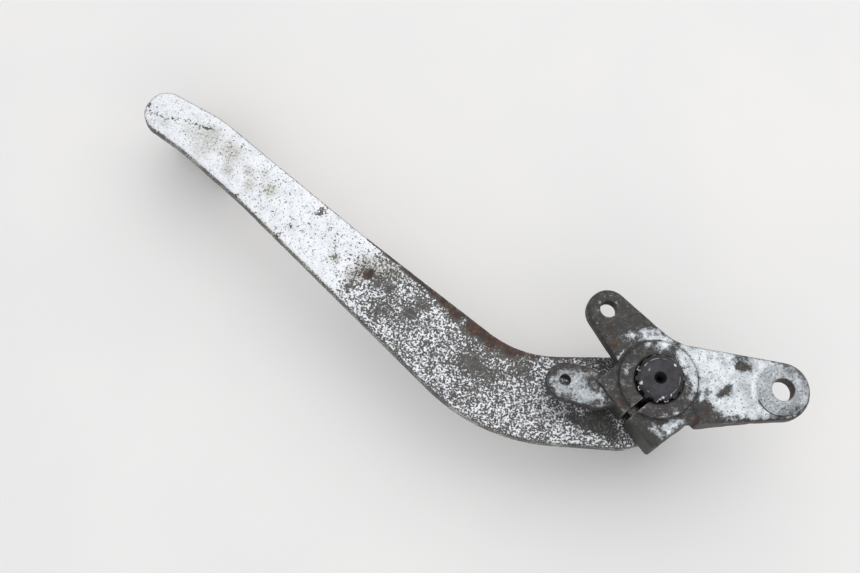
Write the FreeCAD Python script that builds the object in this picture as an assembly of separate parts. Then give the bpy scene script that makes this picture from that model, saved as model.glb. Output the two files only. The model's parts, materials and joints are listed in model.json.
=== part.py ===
import FreeCAD, Part
import math
import os

# Brake shift lever: a flat pedal arm welded to a pivot shaft, with a forged three-arm
# crank pinched onto the serrated end of that shaft, turning in a bushed pivot sleeve.
# Frame: millimetres, +Z along the pivot axis from the sleeve's foot towards the crank,
# origin on the pivot axis at the foot of the sleeve, the pedal arm reaching to -X, +Y.

# ---- driving dimensions -------------------------------------------------------------

# pivot sleeve, with a seat for a frame lug and a thicker shoulder above it
SLEEVE_HEIGHT = 22.0
SEAT_R = 15.0
SEAT_HEIGHT = 12.0
SHOULDER_R = 16.5
SLEEVE_BORE_R = 10.5
POCKET_R = 13.4
POCKET_DEPTH = 6.2

# pivot shaft
JOURNAL_R = 8.5
SHAFT_FOOT_Z = 0.7
CLIP_GROOVE_R = 7.7
CLIP_Z = 2.0
CLIP_THICKNESS = 1.2
COLLAR_R = 12.5
COLLAR_HEIGHT = 3.0
LEVER_SEAT_R = 9.95
SERRATION_R = 8.75
SERRATION_ROOT_R = 7.95
SERRATIONS = 14
SHAFT_PROUD = 2.5
SHAFT_END_R = 6.5
CENTRE_DRILL_R = 2.25
CENTRE_DRILL_DEPTH = 6.5

# bushes, washers and seals
BUSH_BORE_R = 8.56
BUSH_FLANGE_R = 12.3
BUSH_FLANGE = 1.4
UPPER_BUSH_LENGTH = 9.0
LOWER_BUSH_LENGTH = 6.5
WASHER_BORE_R = 8.85
WASHER_R = 12.1
WASHER_THICKNESS = 1.4
SIDE_PLAY = 0.1
CLIP_R = 10.7
SEAL_BORE_R = 12.95
SEAL_R = 15.6
SEAL_HEIGHT = 2.8
INNER_SEAL_BORE_R = 12.45
INNER_SEAL_HEIGHT = 2.4

# pedal arm: a flat plate, bent in its own plane
LEVER_THICKNESS = 6.0
LEVER_HUB_R = 18.2
LEVER_BORE_R = 10.0
LEVER_EDGE_R = 0.7

# three-arm crank, heights measured down from the top of its hub
CRANK_HEIGHT = 17.0
CRANK_GAP = 0.4
HUB_R = 14.2
HUB_EDGE_R = 1.2
BORE_CLEARANCE = 0.15
BORE_CHAMFER = 0.9
WEB_TOP = 2.0
WEB_THICKNESS = 6.0
WEB_ROOT_DEPTH = 15.0
WEB_EDGE_R = 1.7
ROD_EYE = (44.9, -3.0)
ROD_EYE_R = 10.2
ROD_HOLE_R = 4.1
ROD_BOSS_R = 9.5
ROD_BOSS_RISE = 0.75
CABLE_EYE = (-16.7, 26.3)
CABLE_EYE_R = 7.5
CABLE_HOLE_R = 3.1
SPRING_EYE = (-32.9, 0.5)
SPRING_EYE_R = 6.8
SPRING_HOLE_R = 2.0
SPRING_ARM_TOP = 5.0
SPRING_ARM_THICKNESS = 5.5
SPRING_ARM_EDGE_R = 1.3

# clamp block of the crank, in its own directions: local +X runs from the slit's mouth
# to the pivot axis, and local +Y the way the pinch bolt is driven in
CLAMP_ANGLE = 37.5
BLOCK_TOP = 3.0
BLOCK_MOUTH = -17.1
BLOCK_HEAD_SIDE = -18.0
BLOCK_THREAD_SIDE = 13.5
BLOCK_EDGE_R = 0.9
SLIT_OFFSET = -3.0
SLIT_WIDTH = 2.2

# pinch bolt, M5 cap screw let into the block, with its two washers
BOLT_AT = -11.7
BOLT_R = 2.45
BOLT_HOLE_R = 2.65
BOLT_THREAD_R = 2.5
BOLT_THREAD_DEPTH = 11.5
BOLT_LENGTH = 20.0
BOLT_HEAD_R = 4.25
BOLT_HEAD_HEIGHT = 5.0
BOLT_SOCKET_FLATS = 4.0
BOLT_SOCKET_DEPTH = 2.5
BOLT_HEAD_RECESS = 0.4
POCKET_CLEARANCE = 0.15
LOCK_WASHER_THICKNESS = 1.3
FLAT_WASHER_THICKNESS = 1.0
BOLT_WASHER_R = 4.2

# foot pad under the pedal tip, its plate standing on edge along the arm
PAD_CENTRE = (-167.8, 100.3)
PAD_ANGLE = 140.0
PAD_LENGTH = 28.0
PAD_PLATE_THICKNESS = 4.0
PAD_CORNER_R = 5.0
PAD_RUBBER_THICKNESS = 6.5
PAD_RUBBER_MARGIN = 1.5
PAD_RUBBER_FOOT = 2.0
PAD_RUBBER_HEIGHT = 21.0
PAD_RIBS = 5
PAD_RIB_DEPTH = 1.6
PAD_RIB_GAP = 1.8
RIVET_R = 2.0
RIVET_HEAD_R = 3.6
RIVET_HEAD_HEIGHT = 1.4
RIVET_PITCH = 14.0

# grease nipple on the sleeve's shoulder
NIPPLE_Z = 17.0
NIPPLE_ANGLE = 165.0
NIPPLE_THREAD_R = 2.5
NIPPLE_REACH = 9.0

# fillet welds
SHAFT_WELD_LEG = 2.8
PAD_WELD_LEG = 3.0

# ---- levels along the pivot axis ----------------------------------------------------

UPPER_WASHER_Z = SLEEVE_HEIGHT + BUSH_FLANGE + SIDE_PLAY
COLLAR_Z = UPPER_WASHER_Z + WASHER_THICKNESS + SIDE_PLAY
LEVER_Z = COLLAR_Z + COLLAR_HEIGHT
LEVER_TOP_Z = LEVER_Z + LEVER_THICKNESS
CRANK_Z = LEVER_TOP_Z + CRANK_GAP
HUB_TOP_Z = CRANK_Z + CRANK_HEIGHT
SHAFT_TOP_Z = HUB_TOP_Z + SHAFT_PROUD

# ---- places along the pinch bolt ----------------------------------------------------

BOLT_HEAD_LOW = BLOCK_HEAD_SIDE + BOLT_HEAD_RECESS
BOLT_HEAD_HIGH = BOLT_HEAD_LOW + BOLT_HEAD_HEIGHT

Z_AXIS = FreeCAD.Vector(0, 0, 1)


# ---- shared shapes ------------------------------------------------------------------

def vec(x, y, z=0.0):
    return FreeCAD.Vector(x, y, z)


def cylinder(radius, z_low, z_high, x=0.0, y=0.0):
    return Part.makeCylinder(radius, z_high - z_low, vec(x, y, z_low))


def ring(inner, outer, z_low, z_high):
    return cylinder(outer, z_low, z_high).cut(cylinder(inner, z_low, z_high))


def turned(profile):
    """Solid of revolution about the pivot axis from (radius, height) points."""
    points = [vec(r, 0, z) for r, z in profile]
    face = Part.Face(Part.makePolygon(points + points[:1]))
    return face.revolve(vec(0, 0), Z_AXIS, 360)


def rounded_outline(corners):
    """Closed face from (x, y, radius) corners, each rounded by an arc of its radius."""
    count = len(corners)
    starts, middles, ends = [], [], []
    for i, (x, y, radius) in enumerate(corners):
        here = vec(x, y)
        to_last = (vec(*corners[i - 1][:2]) - here).normalize()
        to_next = (vec(*corners[(i + 1) % count][:2]) - here).normalize()
        half = math.acos(to_last.dot(to_next)) / 2
        tangent = radius / math.tan(half)
        bisector = (to_last + to_next).normalize()
        starts.append(here + to_last * tangent)
        ends.append(here + to_next * tangent)
        middles.append(here + bisector * (radius / math.sin(half) - radius))
    edges = []
    for i, (x, y, radius) in enumerate(corners):
        if radius:
            edges.append(Part.Arc(starts[i], middles[i], ends[i]).toShape())
        edges.append(Part.LineSegment(ends[i], starts[(i + 1) % count]).toShape())
    return Part.Face(Part.Wire(edges))


def plate(face, z_low, z_high):
    return face.translated(vec(0, 0, z_low)).extrude(vec(0, 0, z_high - z_low))


def edges_at(solid, height):
    """The edges that lie in the level plane at a height."""
    tolerance = 1e-4
    level = []
    for edge in solid.Edges:
        box = edge.BoundBox
        if abs(box.ZMin - height) < tolerance and abs(box.ZMax - height) < tolerance:
            level.append(edge)
    return level


def softened(solid, radius, *heights):
    """The solid with the edges at these heights rounded."""
    edges = [edge for height in heights for edge in edges_at(solid, height)]
    return solid.makeFillet(radius, edges)


def placed(solid, origin, angle_deg):
    """The solid turned about +Z and moved, from a local frame to the row frame."""
    turn = FreeCAD.Rotation(Z_AXIS, angle_deg)
    moved = solid.copy()
    moved.Placement = FreeCAD.Placement(origin, turn).multiply(moved.Placement)
    return moved


def cylinder_along_y(radius, y_low, y_high, x, z):
    return Part.makeCylinder(radius, y_high - y_low, vec(x, y_low, z), vec(0, 1, 0))


# ---- pivot sleeve and what it holds -------------------------------------------------

def pivot_sleeve():
    chamfer = 0.8
    body = turned([
        (SLEEVE_BORE_R, 0),
        (SEAT_R, 0),
        (SEAT_R, SEAT_HEIGHT),
        (SHOULDER_R, SEAT_HEIGHT),
        (SHOULDER_R, SLEEVE_HEIGHT - chamfer),
        (SHOULDER_R - chamfer, SLEEVE_HEIGHT),
        (SLEEVE_BORE_R, SLEEVE_HEIGHT),
    ])
    body = body.cut(cylinder(POCKET_R, 0, POCKET_DEPTH))
    drilling = Part.makeCylinder(NIPPLE_THREAD_R, SHOULDER_R + 1, vec(0, 0, NIPPLE_Z), vec(1, 0, 0))
    return body.cut(placed(drilling, vec(0, 0), NIPPLE_ANGLE))


def upper_bush():
    grease_hole_r = 1.5
    low = SLEEVE_HEIGHT - UPPER_BUSH_LENGTH
    body = ring(BUSH_BORE_R, SLEEVE_BORE_R, low, SLEEVE_HEIGHT)
    body = body.fuse(ring(BUSH_BORE_R, BUSH_FLANGE_R, SLEEVE_HEIGHT, SLEEVE_HEIGHT + BUSH_FLANGE))
    drilling = Part.makeCylinder(grease_hole_r, SLEEVE_BORE_R + 1, vec(0, 0, NIPPLE_Z), vec(1, 0, 0))
    return body.cut(placed(drilling, vec(0, 0), NIPPLE_ANGLE)).removeSplitter()


def lower_bush():
    flange_low = POCKET_DEPTH - BUSH_FLANGE
    body = ring(BUSH_BORE_R, SLEEVE_BORE_R, POCKET_DEPTH, flange_low + LOWER_BUSH_LENGTH)
    return body.fuse(ring(BUSH_BORE_R, BUSH_FLANGE_R, flange_low, POCKET_DEPTH)).removeSplitter()


def upper_dust_seal():
    seal = ring(SEAL_BORE_R, SEAL_R, SLEEVE_HEIGHT, SLEEVE_HEIGHT + SEAL_HEIGHT)
    return softened(seal, 0.6, SLEEVE_HEIGHT + SEAL_HEIGHT)


def lower_dust_seal():
    high = POCKET_DEPTH - BUSH_FLANGE
    return ring(INNER_SEAL_BORE_R, POCKET_R, high - INNER_SEAL_HEIGHT, high)


def grease_nipple():
    """Screwed into the shoulder: thread, hexagon, neck and round head, along local +X."""
    hexagon_low = SHOULDER_R + 0.1
    hexagon_high = hexagon_low + 3.2
    hexagon_r = 4.0
    thread_length = 4.5
    points = []
    for i in range(6):
        angle = math.radians(60 * i)
        points.append(vec(hexagon_low, hexagon_r * math.cos(angle), hexagon_r * math.sin(angle)))
    across = vec(hexagon_high - hexagon_low, 0, 0)
    hexagon = Part.Face(Part.makePolygon(points + points[:1])).extrude(across)
    profile = [
        (hexagon_low - thread_length, 0),
        (hexagon_low - thread_length, NIPPLE_THREAD_R - 0.05),
        (hexagon_high, NIPPLE_THREAD_R - 0.05),
        (hexagon_high + 1.2, 1.9),
        (hexagon_high + 2.4, 1.9),
        (hexagon_high + 3.2, 2.9),
        (hexagon_high + 4.4, 2.9),
        (SHOULDER_R + NIPPLE_REACH, 1.6),
        (SHOULDER_R + NIPPLE_REACH, 0),
    ]
    face = Part.Face(Part.makePolygon([vec(x, r) for x, r in profile + profile[:1]]))
    body = face.revolve(vec(0, 0), vec(1, 0, 0), 360).fuse(hexagon).removeSplitter()
    return placed(body, vec(0, 0, NIPPLE_Z), NIPPLE_ANGLE)


# ---- shaft, washers and clip --------------------------------------------------------

def serrated_face(tip_r, root_r):
    """Outline of the serrated end: a round-cornered tooth for every serration."""
    step = 2 * math.pi / SERRATIONS
    tooth_share = (-0.30, -0.16, 0.16, 0.30)
    points = []
    for i in range(SERRATIONS):
        for share, radius in zip(tooth_share, (root_r, tip_r, tip_r, root_r)):
            angle = (i + share) * step
            points.append(vec(radius * math.cos(angle), radius * math.sin(angle)))
    return Part.Face(Part.makePolygon(points + points[:1]))


def pivot_shaft():
    foot_chamfer = 0.8
    groove_top = CLIP_Z + CLIP_THICKNESS + SIDE_PLAY
    body = turned([
        (0, SHAFT_FOOT_Z),
        (JOURNAL_R - foot_chamfer, SHAFT_FOOT_Z),
        (JOURNAL_R, SHAFT_FOOT_Z + foot_chamfer),
        (JOURNAL_R, CLIP_Z - SIDE_PLAY),
        (CLIP_GROOVE_R, CLIP_Z - SIDE_PLAY),
        (CLIP_GROOVE_R, groove_top),
        (JOURNAL_R, groove_top),
        (JOURNAL_R, COLLAR_Z),
        (COLLAR_R, COLLAR_Z),
        (COLLAR_R, LEVER_Z),
        (LEVER_SEAT_R, LEVER_Z),
        (LEVER_SEAT_R, LEVER_TOP_Z),
        (SERRATION_ROOT_R, LEVER_TOP_Z),
        (SERRATION_ROOT_R, HUB_TOP_Z),
        (0, HUB_TOP_Z),
    ])
    body = body.fuse(plate(serrated_face(SERRATION_R, SERRATION_ROOT_R), LEVER_TOP_Z, SHAFT_TOP_Z))
    chamfer = SERRATION_R - SHAFT_END_R
    nose = turned([
        (0, SHAFT_FOOT_Z - 1),
        (COLLAR_R + 1, SHAFT_FOOT_Z - 1),
        (COLLAR_R + 1, LEVER_TOP_Z),
        (SERRATION_R + 0.01, LEVER_TOP_Z),
        (SERRATION_R + 0.01, SHAFT_TOP_Z - chamfer),
        (SHAFT_END_R, SHAFT_TOP_Z),
        (0, SHAFT_TOP_Z),
    ])
    body = body.common(nose)
    pilot_r = 1.0
    cone_depth = (CENTRE_DRILL_R - pilot_r) / math.tan(math.radians(30))
    centre = turned([
        (0, SHAFT_TOP_Z - CENTRE_DRILL_DEPTH),
        (pilot_r, SHAFT_TOP_Z - CENTRE_DRILL_DEPTH + 0.6),
        (pilot_r, SHAFT_TOP_Z - cone_depth),
        (CENTRE_DRILL_R, SHAFT_TOP_Z),
        (0, SHAFT_TOP_Z),
    ])
    return body.cut(centre)


def thrust_washer(z_low):
    return ring(WASHER_BORE_R, WASHER_R, z_low, z_low + WASHER_THICKNESS)


def retaining_clip():
    """Open ring in the shaft's groove, with an eye at each end for the pliers."""
    gap_half_angle = 22
    lug_r = 1.9
    eye_r = 0.8
    lug_at = 9.9
    high = CLIP_Z + CLIP_THICKNESS
    clip = ring(CLIP_GROOVE_R + 0.05, CLIP_R - 0.6, CLIP_Z, high)
    wedge = Part.makeCylinder(CLIP_R * 2, CLIP_THICKNESS, vec(0, 0, CLIP_Z), Z_AXIS, 2 * gap_half_angle)
    clip = clip.cut(placed(wedge, vec(0, 0), -gap_half_angle))
    for side in (-1, 1):
        angle = math.radians(side * (gap_half_angle + 8))
        x, y = lug_at * math.cos(angle), lug_at * math.sin(angle)
        lug = cylinder(lug_r, CLIP_Z, high, x, y).cut(cylinder(CLIP_GROOVE_R + 0.05, CLIP_Z, high))
        clip = clip.fuse(lug).cut(cylinder(eye_r, CLIP_Z, high, x, y))
    return clip.removeSplitter()


def shaft_weld():
    """Fillet bead between the shaft's collar and the underside of the pedal arm."""
    leg = SHAFT_WELD_LEG
    bulge = 0.25 * leg
    corner, low, high = (vec(COLLAR_R + x, 0, LEVER_Z - z) for x, z in ((0, 0), (0, leg), (leg, 0)))
    middle = vec(COLLAR_R + leg / 2 + bulge / 2, 0, LEVER_Z - leg / 2 - bulge / 2)
    edges = [
        Part.LineSegment(corner, low).toShape(),
        Part.Arc(low, middle, high).toShape(),
        Part.LineSegment(high, corner).toShape(),
    ]
    return Part.Face(Part.Wire(edges)).revolve(vec(0, 0), Z_AXIS, 360)


# ---- pedal arm ----------------------------------------------------------------------

def lever_plate():
    """Wide at the hub, bent upwards by forty degrees and tapering to a round tip."""
    arm = rounded_outline([
        (0.0, 12.2, 0),
        (-47.6, 12.2, 40),
        (-109.1, 60.9, 250),
        (-160.4, 104.0, 40),
        (-183.9, 117.0, 7.6),
        (-192.5, 103.8, 7.6),
        (-175.0, 91.2, 40),
        (-153.6, 72.2, 150),
        (-62.6, -18.6, 70),
        (-10.6, -22.0, 6),
        (4.9, -17.5, 0),
    ])
    body = plate(arm, LEVER_Z, LEVER_TOP_Z).fuse(cylinder(LEVER_HUB_R, LEVER_Z, LEVER_TOP_Z))
    body = softened(body.removeSplitter(), LEVER_EDGE_R, LEVER_Z, LEVER_TOP_Z)
    return body.cut(cylinder(LEVER_BORE_R, LEVER_Z, LEVER_TOP_Z))


# ---- crank --------------------------------------------------------------------------

def down(depth):
    """Height of a crank feature that lies this far below the top of the hub."""
    return HUB_TOP_Z - depth


def in_clamp_frame(solid):
    """From the clamp block's own directions to the row frame."""
    return placed(solid, vec(0, 0), CLAMP_ANGLE)


def web_outline():
    """Plan of the brake rod arm and the cable arm, joined by a wide hollow curve."""
    x, y = ROD_EYE
    reach = x + ROD_EYE_R
    return rounded_outline([
        (11.5, -9.0, 0),
        (14.3, -15.4, 1.5),
        (reach, y - ROD_EYE_R, ROD_EYE_R),
        (reach, 5.8, ROD_EYE_R),
        (7.5, 14.0, 20),
        (-16.5, 36.2, CABLE_EYE_R - 0.1),
        (-26.9, 27.6, CABLE_EYE_R - 0.1),
        (-12.4, 3.9, 0),
    ])


def rod_and_cable_arms():
    """Forged web, of even thickness at the eyes and deepening towards the hub."""
    outline = web_outline()
    flat = plate(outline, down(WEB_ROOT_DEPTH), down(WEB_TOP))
    even, deep = down(WEB_TOP + WEB_THICKNESS), down(WEB_ROOT_DEPTH)
    cable_side_x = CABLE_EYE[0] + CABLE_EYE_R
    rod_side_x = ROD_EYE[0] - ROD_EYE_R - 1
    beyond = 80
    side = [
        (-beyond, even),
        (cable_side_x, even),
        (-3, deep),
        (14, deep),
        (rod_side_x, even),
        (beyond, even),
        (beyond, HUB_TOP_Z),
        (-beyond, HUB_TOP_Z),
    ]
    points = [vec(x, -beyond, z) for x, z in side]
    profile = Part.Face(Part.makePolygon(points + points[:1])).extrude(vec(0, 2 * beyond, 0))
    web = softened(flat, WEB_EDGE_R, down(WEB_TOP)).common(profile)
    boss_top = down(WEB_TOP - ROD_BOSS_RISE)
    boss = cylinder(ROD_BOSS_R, down(WEB_TOP + 1), boss_top, *ROD_EYE)
    return web.fuse(softened(boss, 0.4, boss_top))


def hub_skirt():
    """Hollow fillet where the hub disc rises out of the web."""
    radius = 1.5
    top, foot = down(WEB_TOP - radius), down(WEB_TOP)
    turn = 1 - math.sqrt(0.5)
    edges = [
        Part.LineSegment(vec(HUB_R - 2, 0, foot), vec(HUB_R + radius, 0, foot)).toShape(),
        Part.Arc(
            vec(HUB_R + radius, 0, foot),
            vec(HUB_R + radius * turn, 0, foot + radius * turn),
            vec(HUB_R, 0, top),
        ).toShape(),
        Part.LineSegment(vec(HUB_R, 0, top), vec(HUB_R - 2, 0, top)).toShape(),
        Part.LineSegment(vec(HUB_R - 2, 0, top), vec(HUB_R - 2, 0, foot)).toShape(),
    ]
    skirt = Part.Face(Part.Wire(edges)).revolve(vec(0, 0), Z_AXIS, 360)
    inset = web_outline().makeOffset2D(-WEB_EDGE_R)
    return skirt.common(plate(inset, foot, down(0)))


def spring_arm():
    """Short low arm with the return spring's hole."""
    x, y = SPRING_EYE
    end_x = x - SPRING_EYE_R
    outline = rounded_outline([
        (end_x, 8.6, SPRING_EYE_R - 0.1),
        (end_x, -4.7, SPRING_EYE_R - 0.1),
        (-21.5, -9.7, 4),
        (-11.0, -7.0, 0),
        (-13.0, -1.0, 0),
        (-23.5, 5.6, 3),
    ])
    low, high = down(SPRING_ARM_TOP + SPRING_ARM_THICKNESS), down(SPRING_ARM_TOP)
    return softened(plate(outline, low, high), SPRING_ARM_EDGE_R, high)


def clamp_block():
    width = BLOCK_THREAD_SIDE - BLOCK_HEAD_SIDE
    corner = vec(BLOCK_MOUTH, BLOCK_HEAD_SIDE, CRANK_Z)
    block = Part.makeBox(-BLOCK_MOUTH, width, CRANK_HEIGHT - BLOCK_TOP, corner)
    outer = []
    for edge in block.Edges:
        box = edge.BoundBox
        on_top = box.ZMin > down(BLOCK_TOP) - 0.01 and box.XMin < -0.01
        upright_at_mouth = box.ZMax - box.ZMin > 1 and box.XMax < BLOCK_MOUTH + 0.01
        if on_top or upright_at_mouth:
            outer.append(edge)
    return in_clamp_frame(block.makeFillet(BLOCK_EDGE_R, outer))


def block_root():
    """Filling between the end of the clamp block and the foot of the brake rod arm."""
    outline = rounded_outline([
        (7.5, -9.0, 0),
        (8.6, -13.0, 0),
        (11.6, -13.9, 0),
        (13.9, -13.7, 0),
        (13.5, -9.0, 0),
    ])
    top = down(BLOCK_TOP)
    return softened(plate(outline, down(WEB_ROOT_DEPTH), top), 0.6, top)


def bolt_height():
    return (CRANK_Z + down(BLOCK_TOP)) / 2


def along_bolt(radius, y_low, y_high):
    return cylinder_along_y(radius, y_low, y_high, BOLT_AT, bolt_height())


def bolt_cutters():
    """Slit, counterbore, clearance hole and threaded hole of the pinch clamp."""
    overrun = 5.0
    slit_corner = vec(BLOCK_MOUTH - overrun, SLIT_OFFSET - SLIT_WIDTH / 2, CRANK_Z - overrun)
    slit = Part.makeBox(-BLOCK_MOUTH + overrun, SLIT_WIDTH, CRANK_HEIGHT + 2 * overrun, slit_corner)
    seat = BOLT_HEAD_HIGH + LOCK_WASHER_THICKNESS + FLAT_WASHER_THICKNESS
    thread_end = SLIT_OFFSET + SLIT_WIDTH / 2 + BOLT_THREAD_DEPTH
    pocket = along_bolt(BOLT_HEAD_R + POCKET_CLEARANCE, BLOCK_HEAD_SIDE - overrun, seat)
    clearance = along_bolt(BOLT_HOLE_R, seat - 1, SLIT_OFFSET)
    threaded = along_bolt(BOLT_THREAD_R, SLIT_OFFSET, thread_end)
    return [in_clamp_frame(cutter) for cutter in (slit, pocket, clearance, threaded)]


def clamp_crank():
    hub = softened(cylinder(HUB_R, CRANK_Z, HUB_TOP_Z), HUB_EDGE_R, HUB_TOP_Z)
    crank = hub.multiFuse([
        rod_and_cable_arms(),
        hub_skirt(),
        spring_arm(),
        clamp_block(),
        block_root(),
    ])
    bore = plate(
        serrated_face(SERRATION_R + BORE_CLEARANCE, SERRATION_ROOT_R + BORE_CLEARANCE),
        CRANK_Z - 1,
        HUB_TOP_Z + 1,
    )
    mouth_r = SERRATION_R + BORE_CLEARANCE
    mouth = turned([
        (0, HUB_TOP_Z - BORE_CHAMFER),
        (mouth_r - 0.6, HUB_TOP_Z - BORE_CHAMFER),
        (mouth_r + 0.3, HUB_TOP_Z + 0.01),
        (0, HUB_TOP_Z + 0.01),
    ])
    cutters = [bore, mouth] + bolt_cutters()
    for (x, y), radius in ((ROD_EYE, ROD_HOLE_R), (CABLE_EYE, CABLE_HOLE_R), (SPRING_EYE, SPRING_HOLE_R)):
        cutters.append(cylinder(radius, CRANK_Z - 1, HUB_TOP_Z + 1, x, y))
    for cutter in cutters:
        crank = crank.cut(cutter)
    return crank.removeSplitter()


def pinch_bolt():
    """Cap screw, its socket facing out of the block."""
    head = along_bolt(BOLT_HEAD_R, BOLT_HEAD_LOW, BOLT_HEAD_HIGH)
    rim = [edge for edge in head.Edges if edge.BoundBox.YMax < BOLT_HEAD_LOW + 0.01]
    shank_end = BOLT_HEAD_HIGH + BOLT_LENGTH
    shank = along_bolt(BOLT_R, BOLT_HEAD_HIGH - 0.5, shank_end)
    tip = [edge for edge in shank.Edges if edge.BoundBox.YMin > shank_end - 0.01]
    bolt = head.makeFillet(0.6, rim).fuse(shank.makeChamfer(0.6, tip))
    corner_r = BOLT_SOCKET_FLATS / 2 / math.cos(math.radians(30))
    points = []
    for i in range(6):
        angle = math.radians(60 * i)
        x, z = BOLT_AT + corner_r * math.cos(angle), bolt_height() + corner_r * math.sin(angle)
        points.append(vec(x, BOLT_HEAD_LOW, z))
    socket = Part.Face(Part.makePolygon(points + points[:1])).extrude(vec(0, BOLT_SOCKET_DEPTH, 0))
    return in_clamp_frame(bolt.cut(socket).removeSplitter())


def bolt_washer(y_low, thickness):
    outer = along_bolt(BOLT_WASHER_R, y_low, y_low + thickness)
    return outer.cut(along_bolt(BOLT_R + 0.15, y_low, y_low + thickness))


def pinch_lock_washer():
    """Spring washer, split across one side."""
    split_width = 0.8
    washer = bolt_washer(BOLT_HEAD_HIGH, LOCK_WASHER_THICKNESS)
    corner = vec(BOLT_AT, BOLT_HEAD_HIGH - 0.5, bolt_height())
    split = Part.makeBox(split_width, LOCK_WASHER_THICKNESS + 1, BOLT_WASHER_R + 1, corner)
    return in_clamp_frame(washer.cut(split))


def pinch_flat_washer():
    return in_clamp_frame(bolt_washer(BOLT_HEAD_HIGH + LOCK_WASHER_THICKNESS, FLAT_WASHER_THICKNESS))


# ---- foot pad -----------------------------------------------------------------------

def in_pad_frame(solid):
    """From local X along the arm towards the tip, Y away from the tread, to the row frame."""
    return placed(solid, vec(*PAD_CENTRE), PAD_ANGLE)


def pad_plate():
    half = PAD_LENGTH / 2
    slab = Part.makeBox(PAD_LENGTH, PAD_PLATE_THICKNESS, LEVER_Z, vec(-half, 0, 0))
    foot = [e for e in slab.Edges if e.BoundBox.ZMax < 0.01 and e.BoundBox.XMax - e.BoundBox.XMin < 0.01]
    slab = slab.makeFillet(PAD_CORNER_R, foot)
    for x, z in rivet_places():
        slab = slab.cut(cylinder_along_y(RIVET_R, -1, PAD_PLATE_THICKNESS + 1, x, z))
    return in_pad_frame(slab)


def rivet_places():
    z = PAD_RUBBER_FOOT + PAD_RUBBER_HEIGHT / 2
    return [(-RIVET_PITCH / 2, z), (RIVET_PITCH / 2, z)]


def pad_rubber():
    """Ribbed tread block on the outer face of the plate, with sunk rivet holes."""
    length = PAD_LENGTH + 2 * PAD_RUBBER_MARGIN
    corner = vec(-length / 2, -PAD_RUBBER_THICKNESS, PAD_RUBBER_FOOT)
    block = Part.makeBox(length, PAD_RUBBER_THICKNESS, PAD_RUBBER_HEIGHT, corner)
    upright = [e for e in block.Edges if e.BoundBox.YMax - e.BoundBox.YMin > 1]
    block = block.makeFillet(3.0, upright)
    pitch = length / PAD_RIBS
    for i in range(1, PAD_RIBS):
        groove_x = -length / 2 + i * pitch - PAD_RIB_GAP / 2
        corner = vec(groove_x, -PAD_RUBBER_THICKNESS - 1, PAD_RUBBER_FOOT - 1)
        block = block.cut(Part.makeBox(PAD_RIB_GAP, PAD_RIB_DEPTH + 1, PAD_RUBBER_HEIGHT + 2, corner))
    for x, z in rivet_places():
        block = block.cut(cylinder_along_y(RIVET_R, -PAD_RUBBER_THICKNESS - 1, 1, x, z))
        sink = PAD_RUBBER_THICKNESS - PAD_RIB_DEPTH - RIVET_HEAD_HEIGHT
        block = block.cut(cylinder_along_y(RIVET_HEAD_R + 0.3, -PAD_RUBBER_THICKNESS - 1, -sink, x, z))
    return in_pad_frame(block)


def pad_rivets():
    """Two rivets through rubber and plate, round heads on both sides."""
    sink = PAD_RUBBER_THICKNESS - PAD_RIB_DEPTH - RIVET_HEAD_HEIGHT
    back_head = 1.6
    rivets = []
    for x, z in rivet_places():
        shank = cylinder_along_y(RIVET_R - 0.03, -sink - 0.5, PAD_PLATE_THICKNESS + 0.5, x, z)
        front = cylinder_along_y(RIVET_HEAD_R, -sink - RIVET_HEAD_HEIGHT, -sink, x, z)
        front_rim = [e for e in front.Edges if e.BoundBox.YMax < -sink - 0.5]
        back = cylinder_along_y(RIVET_HEAD_R, PAD_PLATE_THICKNESS, PAD_PLATE_THICKNESS + back_head, x, z)
        back_rim = [e for e in back.Edges if e.BoundBox.YMin > PAD_PLATE_THICKNESS + 1]
        heads = [front.makeFillet(0.9, front_rim), back.makeFillet(1.1, back_rim)]
        rivets.append(in_pad_frame(shank.multiFuse(heads).removeSplitter()))
    return Part.Compound(rivets)


def pad_weld():
    """Fillet bead along the back of the pad plate, under the pedal arm."""
    leg = PAD_WELD_LEG
    back = PAD_PLATE_THICKNESS
    half = PAD_LENGTH / 2 - 1
    corner, low, high = (vec(-half, back + y, LEVER_Z - z) for y, z in ((0, 0), (0, leg), (leg, 0)))
    bulge = 0.15 * leg
    middle = vec(-half, back + leg / 2 + bulge, LEVER_Z - leg / 2 - bulge)
    edges = [
        Part.LineSegment(corner, low).toShape(),
        Part.Arc(low, middle, high).toShape(),
        Part.LineSegment(high, corner).toShape(),
    ]
    return in_pad_frame(Part.Face(Part.Wire(edges)).extrude(vec(2 * half, 0, 0)))


# ---- all nodes ----------------------------------------------------------------------

nodes = {
    "pivot_sleeve": pivot_sleeve(),
    "upper_bush": upper_bush(),
    "lower_bush": lower_bush(),
    "upper_dust_seal": upper_dust_seal(),
    "lower_dust_seal": lower_dust_seal(),
    "grease_nipple": grease_nipple(),
    "pivot_shaft": pivot_shaft(),
    "upper_thrust_washer": thrust_washer(UPPER_WASHER_Z),
    "lower_thrust_washer": thrust_washer(CLIP_Z + CLIP_THICKNESS + SIDE_PLAY),
    "retaining_clip": retaining_clip(),
    "lever_plate": lever_plate(),
    "shaft_weld": shaft_weld(),
    "clamp_crank": clamp_crank(),
    "pinch_bolt": pinch_bolt(),
    "pinch_lock_washer": pinch_lock_washer(),
    "pinch_flat_washer": pinch_flat_washer(),
    "pad_plate": pad_plate(),
    "pad_weld": pad_weld(),
    "pad_rubber": pad_rubber(),
    "pad_rivets": pad_rivets(),
}

os.makedirs("parts", exist_ok=True)
for name, shape in nodes.items():
    shape.exportStep(f"parts/{name}.step")
    print(name, shape.isValid(), len(shape.Solids), round(shape.Volume, 1))
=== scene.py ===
import json
import math

import bmesh
import bpy
import numpy as np
from mathutils import Matrix, Vector, noise


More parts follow.
